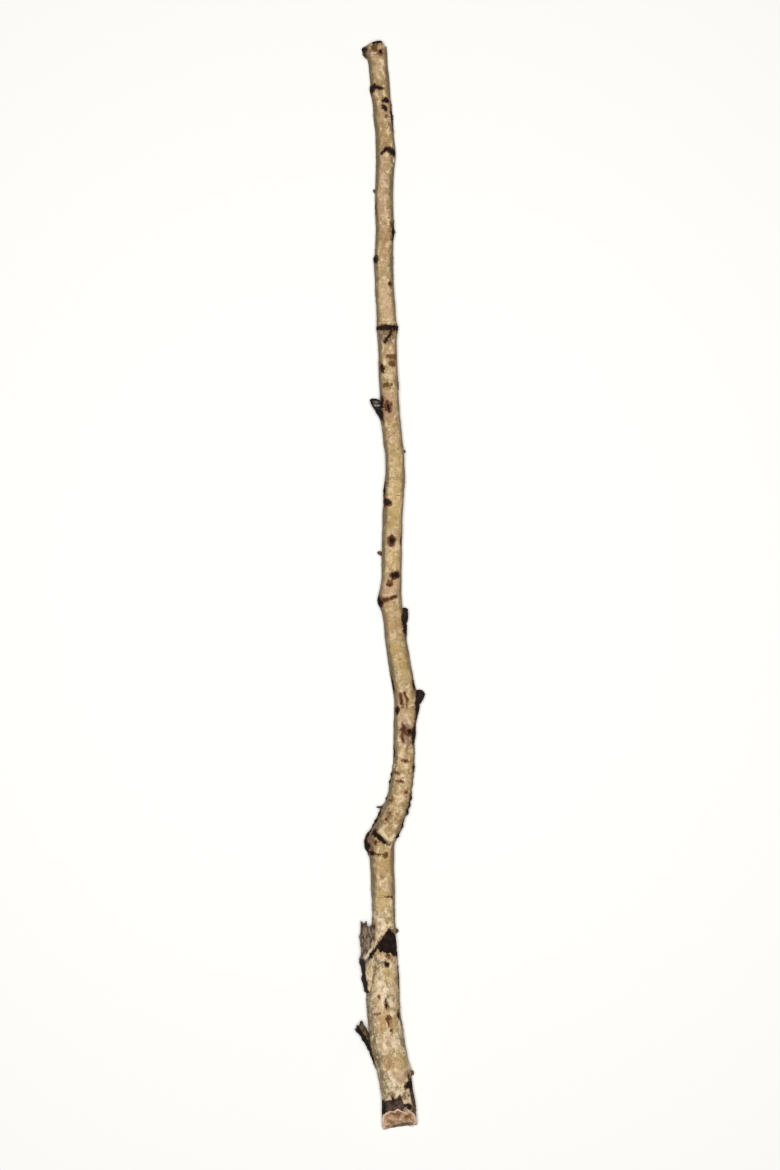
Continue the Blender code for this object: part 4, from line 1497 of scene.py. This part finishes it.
def make_scatter_tree():
    """Puts a shape at random places on the bark, thicker where a named value is high."""
    tree = bpy.data.node_groups.new("scatter_on_bark", "GeometryNodeTree")
    wanted = (
        ("Bark", "NodeSocketGeometry"),
        ("Shape", "NodeSocketObject"),
        ("Where", "NodeSocketString"),
        ("Per Square Metre", "NodeSocketFloat"),
        ("Smallest", "NodeSocketFloat"),
        ("Largest", "NodeSocketFloat"),
        ("Spin", "NodeSocketFloat"),
        ("Seed", "NodeSocketInt"),
        ("Finish", "NodeSocketMaterial"),
    )
    for label, kind in wanted:
        tree.interface.new_socket(label, in_out="INPUT", socket_type=kind)
    tree.interface.new_socket("Crumbs", in_out="OUTPUT", socket_type="NodeSocketGeometry")
    add, link = tree.nodes.new, tree.links.new
    given = add("NodeGroupInput").outputs
    result = add("NodeGroupOutput")

    share = add("GeometryNodeInputNamedAttribute")
    share.data_type = "FLOAT"
    link(given["Where"], share.inputs["Name"])
    thickness = add("ShaderNodeMath")
    thickness.operation = "MULTIPLY"
    link(share.outputs["Attribute"], thickness.inputs[0])
    link(given["Per Square Metre"], thickness.inputs[1])
    places = add("GeometryNodeDistributePointsOnFaces")
    link(given["Bark"], places.inputs["Mesh"])
    link(thickness.outputs[0], places.inputs["Density"])
    link(given["Seed"], places.inputs["Seed"])

    run = add("GeometryNodeInputNamedAttribute")
    run.data_type = "FLOAT_VECTOR"
    run.inputs["Name"].default_value = "run"
    outward = add("FunctionNodeAlignRotationToVector")
    outward.axis = "Z"
    link(places.outputs["Normal"], outward.inputs["Vector"])
    lengthwise = add("FunctionNodeAlignRotationToVector")
    lengthwise.axis = "X"
    lengthwise.pivot_axis = "Z"
    link(outward.outputs[0], lengthwise.inputs["Rotation"])
    link(run.outputs["Attribute"], lengthwise.inputs["Vector"])
    spin = add("FunctionNodeRandomValue")
    spin.data_type = "FLOAT"
    negative = add("ShaderNodeMath")
    negative.operation = "MULTIPLY"
    link(given["Spin"], negative.inputs[0])
    negative.inputs[1].default_value = -1.0
    link(negative.outputs[0], spin.inputs["Min"])
    link(given["Spin"], spin.inputs["Max"])
    link(given["Seed"], spin.inputs["Seed"])
    euler = add("ShaderNodeCombineXYZ")
    link(spin.outputs["Value"], euler.inputs["Z"])
    spun = add("FunctionNodeRotateRotation")
    spun.rotation_space = "LOCAL"
    link(lengthwise.outputs[0], spun.inputs["Rotation"])
    link(euler.outputs[0], spun.inputs["Rotate By"])

    size = add("FunctionNodeRandomValue")
    size.data_type = "FLOAT"
    link(given["Smallest"], size.inputs["Min"])
    link(given["Largest"], size.inputs["Max"])
    link(given["Seed"], size.inputs["Seed"])
    shape = add("GeometryNodeObjectInfo")
    link(given["Shape"], shape.inputs["Object"])
    placed = add("GeometryNodeInstanceOnPoints")
    link(places.outputs["Points"], placed.inputs["Points"])
    link(shape.outputs["Geometry"], placed.inputs["Instance"])
    link(spun.outputs[0], placed.inputs["Rotation"])
    link(size.outputs["Value"], placed.inputs["Scale"])
    real = add("GeometryNodeRealizeInstances")
    link(placed.outputs[0], real.inputs[0])
    finish = add("GeometryNodeSetMaterial")
    link(real.outputs[0], finish.inputs["Geometry"])
    link(given["Finish"], finish.inputs["Material"])
    link(finish.outputs[0], result.inputs[0])
    return tree


def scatter(tree, name, bark, settings):
    """One kind of crumb over one length of bark, as a plain mesh."""
    helper = show(f"{name}_ground", bark.data)
    modifier = helper.modifiers.new("scatter", "NODES")
    modifier.node_group = tree
    for item in tree.interface.items_tree:
        if item.name in settings:
            modifier[item.identifier] = settings[item.name]
    bpy.context.view_layer.update()
    evaluated = helper.evaluated_get(bpy.context.evaluated_depsgraph_get())
    mesh = bpy.data.meshes.new_from_object(evaluated)
    bpy.data.objects.remove(helper)
    stored = [layer.name for layer in mesh.attributes if layer.domain == "POINT" and not layer.is_required]
    for extra in stored:
        mesh.attributes.remove(mesh.attributes[extra])
    mesh.name = name
    return show(name, mesh)


def make_crumbs(barks):
    tree = make_scatter_tree()
    shapes = [show(mesh.name, mesh) for mesh in (lenticel_shape(), flake_shape(), wart_shape())]
    lenticel, flake, wart = shapes
    brown = make_plain_material("lenticel_cork", ((0.24, 0.135, 0.060), (0.36, 0.235, 0.120), BROWN), 0.8)
    paper = make_plain_material("curled_paper", (CHALK, FADED_CREAM, UNDER_PAPER), 0.6)
    cork = make_plain_material("scar_cork", ((0.050, 0.030, 0.020), (0.12, 0.075, 0.045), SOOT), 0.85)
    wanted = ("Shape", "Where", "Per Square Metre", "Smallest", "Largest", "Spin", "Finish")
    kinds = (
        ("lenticels", lenticel, "open_bark", 5000.0, 0.30, 1.10, 0.12, brown),
        ("flakes", flake, "peeling", 7000.0, 0.30, 0.95, 0.35, paper),
        ("warts", wart, "scarred", 90000.0, 0.5, 1.3, 3.1, cork),
    )
    made = []
    for seed, bark in enumerate(barks):
        for label, *values in kinds:
            settings = dict(zip(wanted, values), Seed=seed)
            made.append(scatter(tree, bark.name.replace("bark", label), bark, settings))
    for shape in shapes:
        bpy.data.objects.remove(shape)
    return made


# Stage, light and camera.

FLOOR_SIZE = 6.0
CAMERA_LENS = 100.0
CAMERA_SENSOR = 36.0
FILLED_SHARE = 0.93


def make_floor():
    made, tree, shader = new_material("pale_floor")
    shader.inputs["Base Color"].default_value = (0.90, 0.90, 0.895, 1.0)
    shader.inputs["Roughness"].default_value = 0.9
    half = FLOOR_SIZE / 2
    mesh = bpy.data.meshes.new("floor")
    corners = [(-half, -half, 0), (half, -half, 0), (half, half, 0), (-half, half, 0)]
    mesh.from_pydata(corners, [], [(0, 1, 2, 3)])
    mesh.materials.append(made)
    show("floor", mesh)


def make_lamp(name, place, size, power, colour):
    lamp = bpy.data.lights.new(name, "AREA")
    lamp.shape = "DISK"
    lamp.size = size
    lamp.energy = power
    lamp.color = colour
    thing = bpy.data.objects.new(name, lamp)
    thing.location = place
    thing.rotation_euler = Vector(place).to_track_quat("Z", "Y").to_euler()
    bpy.context.scene.collection.objects.link(thing)


def make_light():
    make_lamp("overhead", (0.0, 0.03, 3.2), 1.0, 106, (1.0, 0.99, 0.97))
    world = bpy.data.worlds.new("soft_studio")
    world.use_nodes = True
    background = world.node_tree.nodes["Background"]
    background.inputs["Color"].default_value = (1.0, 0.99, 0.97, 1.0)
    background.inputs["Strength"].default_value = 0.12
    bpy.context.scene.world = world
    bpy.context.scene.view_settings.view_transform = "Standard"


def make_camera():
    """Straight above the branch, its tip to the top of the picture, as the photo shows it."""
    lens = bpy.data.cameras.new("camera")
    lens.lens = CAMERA_LENS
    lens.sensor_fit = "VERTICAL"
    lens.sensor_height = CAMERA_SENSOR
    camera = bpy.data.objects.new("camera", lens)
    distance = LENGTH / FILLED_SHARE * CAMERA_LENS / CAMERA_SENSOR
    camera.location = (0.0, 0.0, distance + 0.016)
    camera.rotation_euler = (0.0, 0.0, radians(-90))
    bpy.context.scene.collection.objects.link(camera)
    bpy.context.scene.camera = camera


def build():
    make_camera()
    make_light()
    make_floor()
    wood = make_wood_material()
    barks, butt_rim, tip_rim = make_bark(make_bark_material())
    pieces = list(barks)
    pieces.append(make_sawn_face("butt_face", butt_rim, BUTT_INWARD, BUTT_PITH, BUTT_CRACKS, wood))
    pieces.append(make_sawn_face("tip_face", tip_rim, TIP_INWARD, TIP_PITH, TIP_CRACKS, wood))
    looks = {name: make_stub_material(name, *colours) for name, colours in STUB_COLOURS.items()}
    for name, route, radii, end in STUBS:
        side, reach, look = STUB_SHADES[name]
        pieces.append(make_stub(name, route, radii, end, side, reach, looks[look]))
    for name, start, end in LENGTHS:
        rows = [row for row in BUDS if start <= row[0] < end]
        pieces.append(make_buds(f"buds_{name}", rows, looks["bud_scales"]))
    pieces += make_crumbs(barks)
    for piece in pieces:
        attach(piece, "root")
        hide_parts("birch_branch")


build()
